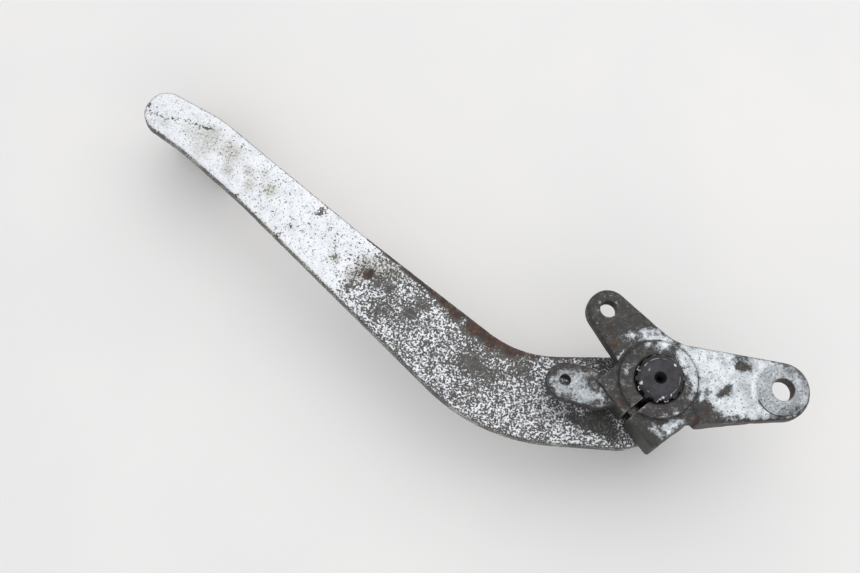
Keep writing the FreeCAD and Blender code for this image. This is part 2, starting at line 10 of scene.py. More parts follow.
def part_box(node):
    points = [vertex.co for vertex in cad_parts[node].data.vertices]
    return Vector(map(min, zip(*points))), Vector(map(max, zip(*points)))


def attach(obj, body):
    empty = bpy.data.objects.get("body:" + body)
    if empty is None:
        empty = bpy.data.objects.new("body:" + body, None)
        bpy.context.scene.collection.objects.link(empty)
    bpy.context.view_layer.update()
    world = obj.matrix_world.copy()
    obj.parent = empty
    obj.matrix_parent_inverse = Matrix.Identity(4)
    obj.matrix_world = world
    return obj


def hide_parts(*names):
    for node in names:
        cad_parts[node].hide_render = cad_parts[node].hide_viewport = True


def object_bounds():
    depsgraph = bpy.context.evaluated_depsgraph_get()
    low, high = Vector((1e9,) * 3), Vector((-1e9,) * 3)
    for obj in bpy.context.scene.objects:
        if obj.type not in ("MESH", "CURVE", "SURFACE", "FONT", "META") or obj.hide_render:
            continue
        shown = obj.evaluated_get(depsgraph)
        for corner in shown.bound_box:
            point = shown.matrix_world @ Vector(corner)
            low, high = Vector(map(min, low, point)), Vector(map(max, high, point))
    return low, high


# Looks of the brake lever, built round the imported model. Lengths named _MM and all places in
# tables are millimetres in the part's own frame. Blender's own numbers are metres.

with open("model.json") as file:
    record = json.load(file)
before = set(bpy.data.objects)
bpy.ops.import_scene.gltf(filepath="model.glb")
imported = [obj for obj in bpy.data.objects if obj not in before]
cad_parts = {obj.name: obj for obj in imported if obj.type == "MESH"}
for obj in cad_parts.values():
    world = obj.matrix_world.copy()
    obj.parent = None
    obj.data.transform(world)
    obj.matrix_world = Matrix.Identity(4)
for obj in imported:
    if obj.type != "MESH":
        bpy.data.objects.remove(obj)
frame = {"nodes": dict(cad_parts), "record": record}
cad_low, cad_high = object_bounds()

MM = 0.001
NODES = frame["nodes"]
MOUNTS = {mount["name"]: mount for mount in frame["record"]["mounts"]}


def polar(radius, angle, z):
    """Point at this distance and angle round the Z axis."""
    return Vector((radius * math.cos(angle), radius * math.sin(angle), z))


def box_mm(node):
    low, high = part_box(node)
    return low / MM, high / MM


def middle_mm(node):
    """Height of the middle of a node's box."""
    low, high = box_mm(node)
    return (low.z + high.z) / 2


LEVER_LOW_MM, LEVER_TOP_MM = (corner.z for corner in box_mm("lever_plate"))
HUB_TOP_MM = box_mm("clamp_crank")[1].z
SHAFT_LOW_MM, SHAFT_TOP_MM = (corner.z for corner in box_mm("pivot_shaft"))
WEB_TOP_MM = HUB_TOP_MM - 2.0
CLAMP_TURN = math.radians(37.5)
PAD_TURN = math.radians(140.0)
PAD_CENTRE_MM = (-167.8, 100.3)
PAD_ALONG = polar(1, PAD_TURN, 0)
PAD_BACK = polar(1, PAD_TURN + math.pi / 2, 0)
DOWN = Vector((0, 0, -1))


# ---- camera and light ----

CAMERA_AT_MM = (-107.8, -115.9, 545.4)
CAMERA_BACK = (-0.0508, -0.2882, 0.9562)
CAMERA_UP = (-0.0153, 0.9576, 0.2878)
CAMERA_LENS = 60.28
SENSOR_WIDTH = 36.0
SOFT_BOX_SIZE = 1.2


def aimed(origin, back, up):
    """Matrix of a camera or lamp that looks along minus back."""
    z = Vector(back).normalized()
    x = Vector(up).cross(z).normalized()
    return Matrix.Translation(origin) @ Matrix((x, z.cross(x), z)).transposed().to_4x4()


def add_camera():
    data = bpy.data.cameras.new("camera")
    data.sensor_width = SENSOR_WIDTH
    data.lens = CAMERA_LENS
    data.clip_start = 0.01
    camera = bpy.data.objects.new("camera", data)
    camera.matrix_world = aimed(Vector(CAMERA_AT_MM) * MM, CAMERA_BACK, CAMERA_UP)
    bpy.context.scene.collection.objects.link(camera)
    bpy.context.scene.camera = camera


def add_area_light(name, towards, distance, watts, colour):
    """A square soft box that stands in this direction from the object and faces it."""
    data = bpy.data.lights.new(name, "AREA")
    data.size = SOFT_BOX_SIZE
    data.energy = watts
    data.color = colour
    light = bpy.data.objects.new(name, data)
    direction = Vector(towards).normalized()
    centre = (cad_low + cad_high) / 2
    light.matrix_world = aimed(centre + direction * distance, direction, (0, 1, 0.01))
    bpy.context.scene.collection.objects.link(light)


def add_world():
    world = bpy.data.worlds.new("studio")
    world.use_nodes = True
    background = world.node_tree.nodes["Background"]
    background.inputs["Color"].default_value = (0.93, 0.96, 1.0, 1.0)
    background.inputs["Strength"].default_value = 0.75
    bpy.context.scene.world = world


# ---- material graphs ----

SEED_STEP = 7.3


class Graph:
    """One material, with short calls that add nodes to it."""

    def __init__(self, name):
        self.material = bpy.data.materials.new(name)
        self.material.use_nodes = True
        self.tree = self.material.node_tree
        self.shader = self.tree.nodes["Principled BSDF"]
        self.place = self.add("ShaderNodeTexCoord").outputs["Object"]
        self.seed = 0.0

    def add(self, kind, **settings):
        node = self.tree.nodes.new(kind)
        for key, value in settings.items():
            setattr(node, key, value)
        return node

    def put(self, socket, value):
        if isinstance(value, bpy.types.NodeSocket):
            self.tree.links.new(value, socket)
        else:
            socket.default_value = value

    def math(self, operation, a, b):
        node = self.add("ShaderNodeMath", operation=operation)
        self.put(node.inputs[0], a)
        self.put(node.inputs[1], b)
        return node.outputs[0]

    def plus(self, *values):
        total = values[0]
        for value in values[1:]:
            total = self.math("ADD", total, value)
        return total

    def times(self, a, b):
        return self.math("MULTIPLY", a, b)

    def minus(self, a, b):
        return self.math("SUBTRACT", a, b)

    def texture(self, kind, size_mm, stretch):
        """Texture node whose features are about this size. Each call has its own place."""
        self.seed += SEED_STEP
        scale = self.add("ShaderNodeVectorMath", operation="MULTIPLY_ADD")
        self.put(scale.inputs[0], self.place)
        scale.inputs[1].default_value = [1 / (MM * size_mm * s) for s in stretch]
        scale.inputs[2].default_value = (self.seed, 2.1 * self.seed, 3.7 * self.seed)
        node = self.add(kind)
        self.put(node.inputs["Vector"], scale.outputs[0])
        node.inputs["Scale"].default_value = 1.0
        return node

    def noise(self, size_mm, detail=2.0, roughness=0.5, stretch=(1, 1, 1)):
        """Noise from 0 to 1. detail is how many finer sizes it has and roughness how strong
        they are."""
        node = self.texture("ShaderNodeTexNoise", size_mm, stretch)
        node.inputs["Detail"].default_value = detail
        node.inputs["Roughness"].default_value = roughness
        return node.outputs[0]

    def cells(self, size_mm):
        """Distance to the nearest of many scattered points about this far apart."""
        return self.texture("ShaderNodeTexVoronoi", size_mm, (1, 1, 1)).outputs["Distance"]

    def swing(self, value, share):
        """A noise's swing about its middle, this strong."""
        return self.times(self.minus(value, 0.5), share)

    def band(self, value, low, high, to_low=0.0, to_high=1.0):
        """Smooth step of a value from low to high."""
        node = self.add("ShaderNodeMapRange", interpolation_type="SMOOTHSTEP")
        for socket, number in zip(node.inputs[:5], (value, low, high, to_low, to_high)):
            self.put(socket, number)
        return node.outputs[0]

    def mix(self, factor, a, b):
        node = self.add("ShaderNodeMix", data_type="RGBA")
        self.put(node.inputs[0], factor)
        for socket, colour in zip(node.inputs[6:8], (a, b)):
            self.put(socket, colour if isinstance(colour, bpy.types.NodeSocket) else (*colour, 1.0))
        return node.outputs[2]

    def blend(self, factor, a, b):
        """Goes from the number a to the number b."""
        return self.plus(a, self.times(factor, b - a))

    def attribute(self, name):
        return self.add("ShaderNodeAttribute", attribute_name=name).outputs["Fac"]

    def finish(self, colour, roughness, height_mm=None, metallic=None):
        self.put(self.shader.inputs["Base Color"], colour)
        self.put(self.shader.inputs["Roughness"], roughness)
        if metallic is not None:
            self.put(self.shader.inputs["Metallic"], metallic)
        if height_mm is not None:
            bump = self.add("ShaderNodeBump")
            bump.inputs["Distance"].default_value = MM
            self.put(bump.inputs["Height"], height_mm)
            self.put(self.shader.inputs["Normal"], bump.outputs[0])
        return self.material


# ---- materials ----

PIT_TONE = (0.05, 0.047, 0.043)
OLD_RUST, FRESH_RUST = (0.030, 0.020, 0.016), (0.115, 0.052, 0.032)
RUBBED_TONE = (0.26, 0.26, 0.25)
# Dark tone for dirt and for painted shade.
GRIME_AND_SHADE_TONE = (0.022, 0.020, 0.016)
# On the shaft's end the polished tone is also a painted highlight, and the packed dirt tone is also
# painted shade.
OXIDE_TONE, POLISHED_AND_HIGHLIGHT_TONE = (0.035, 0.026, 0.022), (0.62, 0.61, 0.60)
PACKED_DIRT_AND_SHADE = (0.012, 0.011, 0.010)


def flaked_off(g, peel, flake, softness):
    """1 where the paint is gone. flake is the (size_mm, detail, roughness) of its noise."""
    fine = g.noise(*flake)
    coarse = g.noise(6.0)
    drift = g.times(g.swing(coarse, 0.16), g.band(peel, 0.0, 0.3))
    level = g.plus(g.times(peel, 0.40), 0.30, drift)
    return g.band(g.minus(level, fine), -softness, softness)


def paint_film(g, stain, paint, dull, soiled_paint, pitting):
    """Colour of the paint, with its dull patches, soiled patches and pits."""
    cloud = g.noise(9.0, 3.0, 0.6)
    bloom = g.noise(4.0, 6.0, 0.75)
    tone = g.mix(g.band(bloom, 0.40, 0.64), paint, dull)
    soiled = g.times(g.band(g.plus(stain, g.swing(cloud, 0.5)), 0.12, 0.75), 0.8)
    speckle = g.band(g.noise(1.1, 3.0, 0.7), 0.36, 0.62, 0.45, 1.0)
    tone = g.mix(g.times(soiled, speckle), tone, soiled_paint)
    pits = g.band(g.noise(0.75, roughness=0.6), pitting, pitting - 0.07)
    return g.mix(g.times(pits, 0.8), tone, PIT_TONE)


def bare_steel(g, bare, brown, smear, fleck):
    """Colour of the steel below the paint, with smears and last flecks of paint on it."""
    tone = g.mix(g.band(g.noise(2.6, 4.0, 0.65), 0.38, 0.66), bare, brown)
    smears = g.band(g.noise(1.9, 5.0, 0.75), 0.48, 0.66, 0.0, 0.8)
    tone = g.mix(smears, tone, smear)
    flecks = g.band(g.noise(0.9, 3.0, 0.7), 0.63, 0.70, 0.0, 0.6)
    return g.mix(flecks, tone, fleck)


def worn_paint(name, paint, dull, bare, brown, smear, soiled_paint, flake, softness, pitting):
    """Silver paint that flakes off dark steel. Where and how much comes from the mesh's own
    zones of peel, rust, dirt and shade, stain, edge and cavity. The cavity zone darkens
    creases as painted shade."""
    g = Graph(name)
    peel, rust, grime_and_shade, stain, edge, cavity = (
        g.attribute(zone) for zone in ("peel", "rust", "grime_and_shade", "stain", "edge", "cavity")
    )
    lost = flaked_off(g, peel, flake, softness)
    kept_paint_and_highlight = g.minus(1.0, lost)
    tiny = g.noise(0.4)
    film = paint_film(g, stain, paint, dull, soiled_paint, pitting)
    steel = bare_steel(g, bare, brown, smear, [part * 0.55 for part in paint])
    tone = g.mix(lost, film, steel)

    rust_grain = g.noise(1.4, 4.0, 0.7)
    rusted = g.band(g.plus(rust, g.swing(rust_grain, 0.9)), 0.25, 0.8)
    rust_tone = g.mix(g.band(rust_grain, 0.42, 0.68), OLD_RUST, FRESH_RUST)
    tone = g.mix(g.times(rusted, 0.92), tone, rust_tone)
    rubbed = g.band(g.plus(edge, g.swing(rust_grain, 0.9)), 0.45, 0.85)
    tone = g.mix(g.times(rubbed, 0.40), tone, RUBBED_TONE)

    dirt_grain = g.noise(2.4, 4.0, 0.65)
    # The cavity zone is added here as painted shade in creases. The dirt zone holds some painted
    # shade as well.
    grime_and_crease_shade = g.plus(grime_and_shade, g.times(cavity, 0.6), g.swing(dirt_grain, 0.9))
    grime_and_crease_shade = g.band(grime_and_crease_shade, 0.2, 0.9)
    hiding = g.plus(lost, g.times(kept_paint_and_highlight, g.band(grime_and_crease_shade, 0.55, 1.0, 0.30, 1.0)))
    tone = g.mix(g.times(g.times(grime_and_crease_shade, hiding), 0.88), tone, GRIME_AND_SHADE_TONE)

    roughness = g.plus(0.44, g.times(lost, 0.12), g.times(rusted, 0.22), g.swing(tiny, 0.16))
    shine = g.times(g.times(kept_paint_and_highlight, 0.45), g.minus(1.0, g.times(rusted, 0.9)))
    height = g.plus(g.times(kept_paint_and_highlight, 0.06), g.times(tiny, 0.035), g.times(rust_grain, 0.05))
    return g.finish(tone, roughness, height, shine)


def turned_steel(name, tone, dark, roughness=0.38, metallic=0.85):
    """Turned steel: fine rings round the pivot, oxide clouds, brighter worn edges with a painted
    highlight, and packed dirt with painted shade in the hollows.
    """
    g = Graph(name)
    rings = g.noise(0.35, stretch=(14, 14, 1))
    cloud = g.noise(5.0, 4.0, 0.65)
    specks = g.band(g.noise(0.8, 3.0, 0.7), 0.55, 0.68)
    edge = g.attribute("edge")
    cavity = g.attribute("cavity")
    worn = g.band(g.plus(edge, g.swing(cloud, 0.9)), 0.30, 0.62)
    colour = g.mix(g.band(cloud, 0.35, 0.66), tone, dark)
    colour = g.mix(g.times(specks, 0.7), colour, OXIDE_TONE)
    # On the shaft's end the edge zone holds a painted highlight as well as wear.
    colour = g.mix(worn, colour, POLISHED_AND_HIGHLIGHT_TONE)
    # Packed dirt with painted shade in the hollows.
    colour = g.mix(g.band(cavity, 0.2, 0.7, 0.0, 0.92), colour, PACKED_DIRT_AND_SHADE)
    rough = g.plus(roughness, g.times(specks, 0.3), g.swing(cloud, 0.2))
    height = g.plus(g.times(rings, 0.020), g.times(specks, -0.03), g.times(cloud, 0.02))
    return g.finish(colour, rough, height, metallic)


def plated(name, tone, tarnish):
    """Dull zinc plate with white bloom, rust freckles and painted shade in its creases."""
    g = Graph(name)
    cloud = g.noise(3.0, 4.0, 0.65)
    grain = g.noise(0.5, 3.0)
    freckle = g.band(g.noise(1.1, 4.0, 0.7), 0.60, 0.70)
    colour = g.mix(g.band(cloud, 0.36, 0.64), tone, tarnish)
    colour = g.mix(g.times(freckle, 0.85), colour, (0.15, 0.065, 0.030))
    # Painted shade in the creases of threads, knurls and sockets.
    colour = g.mix(g.times(g.attribute("cavity"), 0.9), colour, (0.02, 0.018, 0.015))
    rough = g.plus(0.36, g.swing(grain, 0.2), g.times(freckle, 0.35))
    shine = g.minus(0.85, g.times(freckle, 0.7))
    return g.finish(colour, rough, g.plus(g.times(grain, 0.012), g.times(freckle, 0.02)), shine)


def blackened(name):
    """Oil-blackened spring steel with rubbed spots."""
    g = Graph(name)
    cloud = g.noise(2.2, 4.0, 0.6)
    grain = g.noise(0.35)
    colour = g.mix(g.band(cloud, 0.4, 0.7), (0.035, 0.036, 0.040), (0.16, 0.15, 0.145))
    rough = g.plus(0.34, g.times(grain, 0.2))
    return g.finish(colour, rough, g.times(grain, 0.012), g.band(cloud, 0.3, 0.8, 0.55, 0.9))


def bronze(name):
    """Sintered bronze: fine pores, oil darkening."""
    g = Graph(name)
    cloud = g.noise(4.0, 3.0, 0.6)
    pores = g.band(g.cells(0.35), 0.0, 0.25)
    colour = g.mix(g.band(cloud, 0.35, 0.7), (0.50, 0.31, 0.14), (0.26, 0.16, 0.075))
    colour = g.mix(g.times(g.minus(1.0, pores), 0.7), colour, (0.06, 0.035, 0.02))
    rough = g.plus(0.34, g.times(cloud, 0.18))
    return g.finish(colour, rough, g.times(pores, 0.015), g.blend(pores, 0.5, 0.9))


def rubber(name, tone, dust):
    """Matte rubber with moulding grain, dust in the grooves and scuffed high spots."""
    g = Graph(name)
    grain = g.noise(0.45, 3.0, 0.6)
    cloud = g.noise(6.0, 4.0, 0.65)
    edge, cavity = g.attribute("edge"), g.attribute("cavity")
    scuffed = g.band(g.plus(edge, g.swing(cloud, 0.8)), 0.30, 0.75)
    colour = g.mix(g.band(cloud, 0.4, 0.7, 0.0, 0.5), tone, dust)
    colour = g.mix(g.times(cavity, 0.7), colour, dust)
    colour = g.mix(g.times(scuffed, 0.45), colour, [part * 0.9 + 0.05 for part in dust])
    rough = g.plus(0.72, g.swing(grain, 0.25))
    return g.finish(colour, rough, g.plus(g.times(grain, 0.03), g.times(cloud, 0.03)))


def black_enamel(name):
    """Old black enamel: orange peel, chips down to rusty steel, road dust."""
    g = Graph(name)
    peel = g.noise(1.4)
    cloud = g.noise(7.0, 4.0, 0.65)
    flakes = g.noise(1.8, 4.0, 0.68)
    edge = g.attribute("edge")
    chipped = g.band(g.plus(flakes, g.times(edge, 0.22), g.swing(cloud, 0.2)), 0.63, 0.66)
    colour = g.mix(g.band(cloud, 0.38, 0.72), (0.022, 0.022, 0.024), (0.085, 0.080, 0.072))
    steel = g.mix(g.band(flakes, 0.62, 0.80), (0.15, 0.065, 0.032), (0.24, 0.22, 0.20))
    colour = g.mix(chipped, colour, steel)
    rough = g.plus(0.34, g.times(cloud, 0.25), g.times(chipped, 0.30))
    height = g.plus(g.times(peel, 0.02), g.times(chipped, -0.06))
    return g.finish(colour, rough, height, g.times(chipped, 0.3))


def weld_metal(name):
    """Weld bead: heat colours, black scale in the ripples, rust freckles."""
    g = Graph(name)
    cloud = g.noise(2.4, 4.0, 0.6)
    grain = g.noise(0.5, 3.0)
    rust = g.band(g.noise(1.7, 4.0, 0.7), 0.50, 0.68)
    colour = g.mix(g.band(cloud, 0.36, 0.68), (0.10, 0.095, 0.10), (0.23, 0.20, 0.17))
    colour = g.mix(g.times(rust, 0.8), colour, (0.14, 0.060, 0.030))
    colour = g.mix(g.times(g.attribute("cavity"), 0.85), colour, (0.020, 0.018, 0.016))
    rough = g.plus(0.40, g.times(rust, 0.35), g.swing(grain, 0.2))
    return g.finish(colour, rough, g.times(grain, 0.03), g.blend(rust, 0.75, 0.1))


def floor_material():
    g = Graph("floor_paint")
    cloud = g.noise(90.0, 3.0)
    colour = g.mix(g.band(cloud, 0.3, 0.7), (0.84, 0.815, 0.79), (0.81, 0.79, 0.77))
    return g.finish(colour, 0.55)


LEVER_PAINT = worn_paint(
    "lever_paint", paint=(0.81, 0.82, 0.84), dull=(0.70, 0.71, 0.73), bare=(0.055, 0.053, 0.050),
    brown=(0.085, 0.074, 0.063), smear=(0.16, 0.155, 0.145), soiled_paint=(0.39, 0.37, 0.295),
    flake=(0.66, 2.0, 0.6), softness=0.042, pitting=0.37,
)
CRANK_PAINT = worn_paint(
    "crank_paint", paint=(0.72, 0.75, 0.77), dull=(0.44, 0.465, 0.485), bare=(0.019, 0.018, 0.020),
    brown=(0.040, 0.032, 0.027), smear=(0.095, 0.088, 0.074), soiled_paint=(0.22, 0.235, 0.25),
    flake=(2.6, 6.0, 0.78), softness=0.10, pitting=0.415,
)
SHAFT_STEEL = turned_steel(
    "shaft_steel", (0.040, 0.037, 0.045), (0.018, 0.016, 0.018), roughness=0.44, metallic=0.3
)
WASHER_STEEL = turned_steel("washer_steel", (0.42, 0.41, 0.40), (0.20, 0.185, 0.17))
ZINC = plated("zinc_plate", (0.56, 0.55, 0.52), (0.36, 0.33, 0.27))
SPRING_STEEL = blackened("spring_steel")
BRONZE = bronze("sintered_bronze")
PAD_RUBBER = rubber("pad_rubber", (0.022, 0.022, 0.023), (0.13, 0.12, 0.105))
SEAL_RUBBER = rubber("seal_rubber", (0.018, 0.018, 0.019), (0.075, 0.068, 0.058))
SLEEVE_ENAMEL = black_enamel("sleeve_enamel")
WELD = weld_metal("weld_metal")


# ---- mesh work ----

def new_object(name, mesh, material):
    obj = bpy.data.objects.new(name, mesh)
    bpy.context.scene.collection.objects.link(obj)
    mesh.materials.clear()
    mesh.materials.append(material)
    return obj


def smooth_mesh(name, vertices, faces):
    mesh = bpy.data.meshes.new(name)
    mesh.from_pydata([tuple(vertex) for vertex in vertices], [], faces)
    mesh.shade_smooth()
    return mesh


def facing_out(mesh):
    """The mesh with the front of every face outwards."""
    work = bmesh.new()
    work.from_mesh(mesh)
    bmesh.ops.recalc_face_normals(work, faces=work.faces)
    work.to_mesh(mesh)
    work.free()
    return mesh


def dense_copy(node, name, voxel_mm, rounds):
    """The CAD node's shape as an even fine mesh with its corners smoothed off some rounds
    over, so that it can be worn and dented."""
    mesh = NODES[node].data.copy()
    work = bmesh.new()
    work.from_mesh(mesh)
    bmesh.ops.remove_doubles(work, verts=work.verts, dist=0.002 * MM)
    work.to_mesh(mesh)
    work.free()
    carrier = bpy.data.objects.new("carrier", mesh)
    bpy.context.scene.collection.objects.link(carrier)
    remesh = carrier.modifiers.new("remesh", "REMESH")
    remesh.mode = "VOXEL"
    remesh.voxel_size = voxel_mm * MM
    graph = bpy.context.evaluated_depsgraph_get()
    fine = bpy.data.meshes.new_from_object(carrier.evaluated_get(graph))
    fine.name = name
    bpy.data.objects.remove(carrier)
    bpy.data.meshes.remove(mesh)
    fine.shade_smooth()
    ends = edges_of(fine)
    places = points_of(fine).T
    move_points(fine, np.stack([averaged(values, ends, rounds) for values in places], axis=1))
    return fine


def points_of(mesh):
    """The mesh's vertices in millimetres."""
    points = np.empty(len(mesh.vertices) * 3)
    mesh.vertices.foreach_get("co", points)
    return points.reshape(-1, 3) / MM


def normals_of(mesh):
    normals = np.empty(len(mesh.vertices) * 3)
    mesh.vertices.foreach_get("normal", normals)
    return normals.reshape(-1, 3)


def move_points(mesh, points):
    mesh.vertices.foreach_set("co", (points * MM).ravel())
    mesh.update()


def raise_points(mesh, points, normals, heights):
    """Moves each vertex along its normal by its own height."""
    move_points(mesh, points + normals * heights[:, None])


def edges_of(mesh):
    ends = np.empty(len(mesh.edges) * 2, dtype=np.int64)
    mesh.edges.foreach_get("vertices", ends)
    return ends.reshape(-1, 2).T


def averaged(values, ends, rounds):
    """Each vertex's value blended with its neighbours', some rounds over."""
    a, b = ends
    count = len(values)
    links = np.bincount(a, minlength=count) + np.bincount(b, minlength=count)
    links = np.maximum(links, 1)
    for _ in range(rounds):
        total = np.bincount(a, weights=values[b], minlength=count)
        total += np.bincount(b, weights=values[a], minlength=count)
        values = 0.5 * values + 0.5 * total / links
    return values


def curvature(mesh, rounds):
    """Positive on ridges and negative in corners, in 1/mm."""
    a, b = edges_of(mesh)
    points, normals = points_of(mesh), normals_of(mesh)
    along = points[b] - points[a]
    bend = ((normals[b] - normals[a]) * along).sum(1) / np.maximum((along ** 2).sum(1), 1e-9)
    count = len(points)
    total = np.bincount(a, weights=bend, minlength=count)
    total += np.bincount(b, weights=bend, minlength=count)
    links = np.bincount(a, minlength=count) + np.bincount(b, minlength=count)
    return averaged(total / np.maximum(links, 1), (a, b), rounds)


def set_zone(mesh, name, values):
    zone = mesh.attributes.new(name, "FLOAT", "POINT")
    zone.data.foreach_set("value", np.clip(values, 0.0, 1.0).astype(np.float32))


def set_edge_zones(mesh, rounds, sharp):
    """Zones of the ridges and corners, full where the surface bends as sharply as this."""
    bend = curvature(mesh, rounds) / sharp
    set_zone(mesh, "edge", bend)
    set_zone(mesh, "cavity", -bend)


def lumps(points, size_mm, seed):
    """Smooth random heights from about -1 to 1, one for each point."""
    shift = Vector((seed * 5.1, seed * 3.3, seed * 1.7))
    places = (Vector(point) / size_mm + shift for point in points.tolist())
    return np.array([
        noise.fractal(place, 1.0, 2.0, 3, noise_basis="PERLIN_ORIGINAL") for place in places
    ])


def distance_from(points, x=0.0, y=0.0):
    """How far each point is from a place, or else from the pivot axis, in plan."""
    return np.hypot(points[:, 0] - x, points[:, 1] - y)


def spots(points, table):
    """Sum of soft round spots, from (x, y, radius, strength) rows."""
    total = np.zeros(len(points))
    for x, y, radius, strength in table:
        total += strength * np.exp(-(distance_from(points, x, y) / radius) ** 2)
    return total


def along_line(points, line, width):
    """1 on a line of (x, y) points, falling away to 0 over its width."""
    nearest = np.full(len(points), 1e9)
    flat = points[:, :2]
    for start, end in zip(line[:-1], line[1:]):
        start, along = np.array(start), np.subtract(end, start)
        share = np.clip(((flat - start) @ along) / (along @ along), 0, 1)
        apart = np.linalg.norm(flat - start - share[:, None] * along, axis=1)
        nearest = np.minimum(nearest, apart)
    return np.exp(-(nearest / width) ** 2)


def step(value, low, high):
    """Smooth step from 0 at low to 1 at high."""
    share = np.clip((value - low) / (high - low), 0, 1)
    return share * share * (3 - 2 * share)


def finished(name, mesh, material, body, slot, *nodes):
    """Puts a piece in the scene under its body and hides the CAD nodes it stands for. slot is not
    used.
    """
    piece = new_object(name, mesh, material)
    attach(piece, body)
    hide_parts(*nodes)


# ---- pedal arm ----

# The way from the hub along the arm, and where on it the flaking thins out.
ARM_WAY = (-0.77, 0.64)
FLAKING_ENDS_MM = (96, 122)
# Soft round spots, as (x, y, radius, strength), and one line of (x, y) points.
LEVER_PEEL = [
    (-104, 40, 7, 0.1), (-66, 12, 8, 0.08), (-24, -6, 8, 0.1), (0, 0, 15, 0.4),
]
LEVER_CHIPS = [
    (-121, 68, 1.5, 0.55), (-122.4, 66, 1.1, 0.6), (-118.6, 69.6, 1.3, 0.5), (-154, 73, 1.2, 0.7),
    (-138, 58, 1.6, 0.35), (-188, 109, 1.2, 0.7), (-133, 61, 0.9, 0.5), (-116, 49, 1.4, 0.5),
    (-111, 38, 1.8, 0.45), (-105, 44, 2.4, 0.3), (-100, 40, 2.8, 0.35), (-95, 37, 1.8, 0.4),
    (-98, 29, 4, 0.32), (-88, 28, 2.2, 0.6), (-84, 31, 1.9, 0.6), (-65, 9, 4.4, 0.4),
    (-58, 4, 3, 0.3), (-46, 7, 3, 0.35),
]
LEVER_SPECKS = [
    (-184, 107, 10, 0.07), (-171, 100, 12, 0.09), (-158, 90, 10, 0.12), (-146, 78, 12, 0.13),
    (-132, 66, 14, 0.13), (-118, 56, 12, 0.16), (-108, 48, 9, 0.12), (-157, 91, 3.5, 0.12),
    (-142, 76, 3.5, 0.12), (-164, 98, 5, 0.08),
]
LEVER_CRACK = [(-189, 107), (-182, 104), (-175, 103), (-168, 100.6), (-163, 99)]
LEVER_STAINS = [
    (-156, 90, 4.4, 0.75), (-163, 97, 5, 0.55), (-149, 83, 2.4, 0.6), (-149, 77, 3, 0.65),
    (-143, 82, 2.6, 0.5), (-141, 75, 3.4, 0.8), (-157, 83, 3, 0.55), (-167, 90, 5, 0.4),
    (-182, 102, 3, 0.55), (-172, 100, 6, 0.4), (-116, 49, 2.6, 0.75), (-133, 61, 1.8, 0.5),
    (-104, 46, 6, 0.6), (-95, 44, 6, 0.65), (-110, 42, 4, 0.5),
]
LEVER_RUST = [
    (-104, 42, 1.7, 1.3), (-102.4, 43.8, 1.3, 1.1), (-116, 49, 1.1, 0.7), (-112, 38, 1.4, 0.5),
    (-99, 37, 1.8, 0.5), (-94, 37.5, 1.4, 0.45), (-66, 12, 3, 0.3), (-58, 5, 2.4, 0.25),
]
# The rusty band along the upper edge, as (x, y) and its half width there.
LEVER_RUST_BAND = [
    (-104, 56.2, 0.3), (-98, 51.4, 0.4), (-90, 44.6, 0.6), (-80, 36.2, 1.1), (-72, 29.4, 1.9),
    (-64, 22.6, 3.4), (-57, 17.4, 4.2), (-50, 14.2, 2.6), (-42, 12.6, 1.6), (-30, 12.2, 0.9),
    (-18, 12.2, 0.8),
]
# Grease on the plate, with a painted shadow of the crank's spring arm along it and painted shade
# under the hub.
LEVER_GRIME_AND_SHADOW = [
    (-37, -6, 2.4, 0.45), (-33, -8.6, 2.8, 0.6), (-28, -11, 3.2, 0.75), (-22, -13, 3.6, 0.8),
    (-17, -15, 3.6, 0.75), (-13, -18, 3.4, 0.6), (-18, -9, 5, 0.7), (0, 0, 15, 0.9),
    (-30, -17, 9, 0.22), (-50, -12, 9, 0.08), (-66, 11, 4, 0.2), (-30, 9, 4, 0.4), (-24, 6, 4, 0.4),
]


def rust_band(points):
    """1 on the rusty upper edge, 0 beyond the band's half width from it."""
    band = np.zeros(len(points))
    for start, end in zip(LEVER_RUST_BAND[:-1], LEVER_RUST_BAND[1:]):
        half_width = (start[2] + end[2]) / 2
        band = np.maximum(band, along_line(points, [start[:2], end[:2]], half_width))
    return band * np.clip(0.85 + 0.9 * lumps(points, 5.0, 5), 0.2, 1.2)


def pedal_arm():
    """The flat arm: pitted and dented plate, its paint flaking more towards the hub, with grease
    and painted shade where the crank lies over it.
    """
    mesh = dense_copy("lever_plate", "pedal_arm", 0.5, 2)
    points, normals = points_of(mesh), normals_of(mesh)
    set_edge_zones(mesh, 3, 0.9)
    on_side = 1 - step(np.abs(normals[:, 2]), 0.55, 0.85)
    band = rust_band(points)
    below = step(-normals[:, 2], 0.3, 0.7)
    from_hub = points[:, :2] @ ARM_WAY + 3 * lumps(points, 12.0, 4)
    peel = 0.56 * (1 - step(from_hub, *FLAKING_ENDS_MM))
    peel += spots(points, LEVER_PEEL + LEVER_CHIPS + LEVER_SPECKS) + 0.5 * band
    peel += 0.42 * along_line(points, LEVER_CRACK, 0.7)
    side_peel = 0.74 + 0.4 * lumps(points, 7.0, 6)
    set_zone(mesh, "peel", peel * (1 - on_side) + side_peel * on_side)
    set_zone(mesh, "stain", spots(points, LEVER_STAINS) + 0.3 * below + 1.2 * on_side)
    set_zone(mesh, "rust", spots(points, LEVER_RUST) + 0.85 * band + 0.12 * on_side + 0.10 * below)
    set_zone(mesh, "grime_and_shade", spots(points, LEVER_GRIME_AND_SHADOW) + 0.35 * on_side + 0.15 * band)

    dents = 0.06 * lumps(points, 9.0, 1) + 0.025 * lumps(points, 2.2, 2)
    ragged = on_side * 0.035 * lumps(points, 1.6, 3)
    chips = 0.12 * spots(points, LEVER_CHIPS) * (1 - on_side)
    dents = np.minimum(dents, 0.0) + ragged - chips
    raise_points(mesh, points, normals, dents)
    finished("pedal_arm", mesh, LEVER_PAINT, "pedal", "lever_paint", "lever_plate")


# ---- crank ----

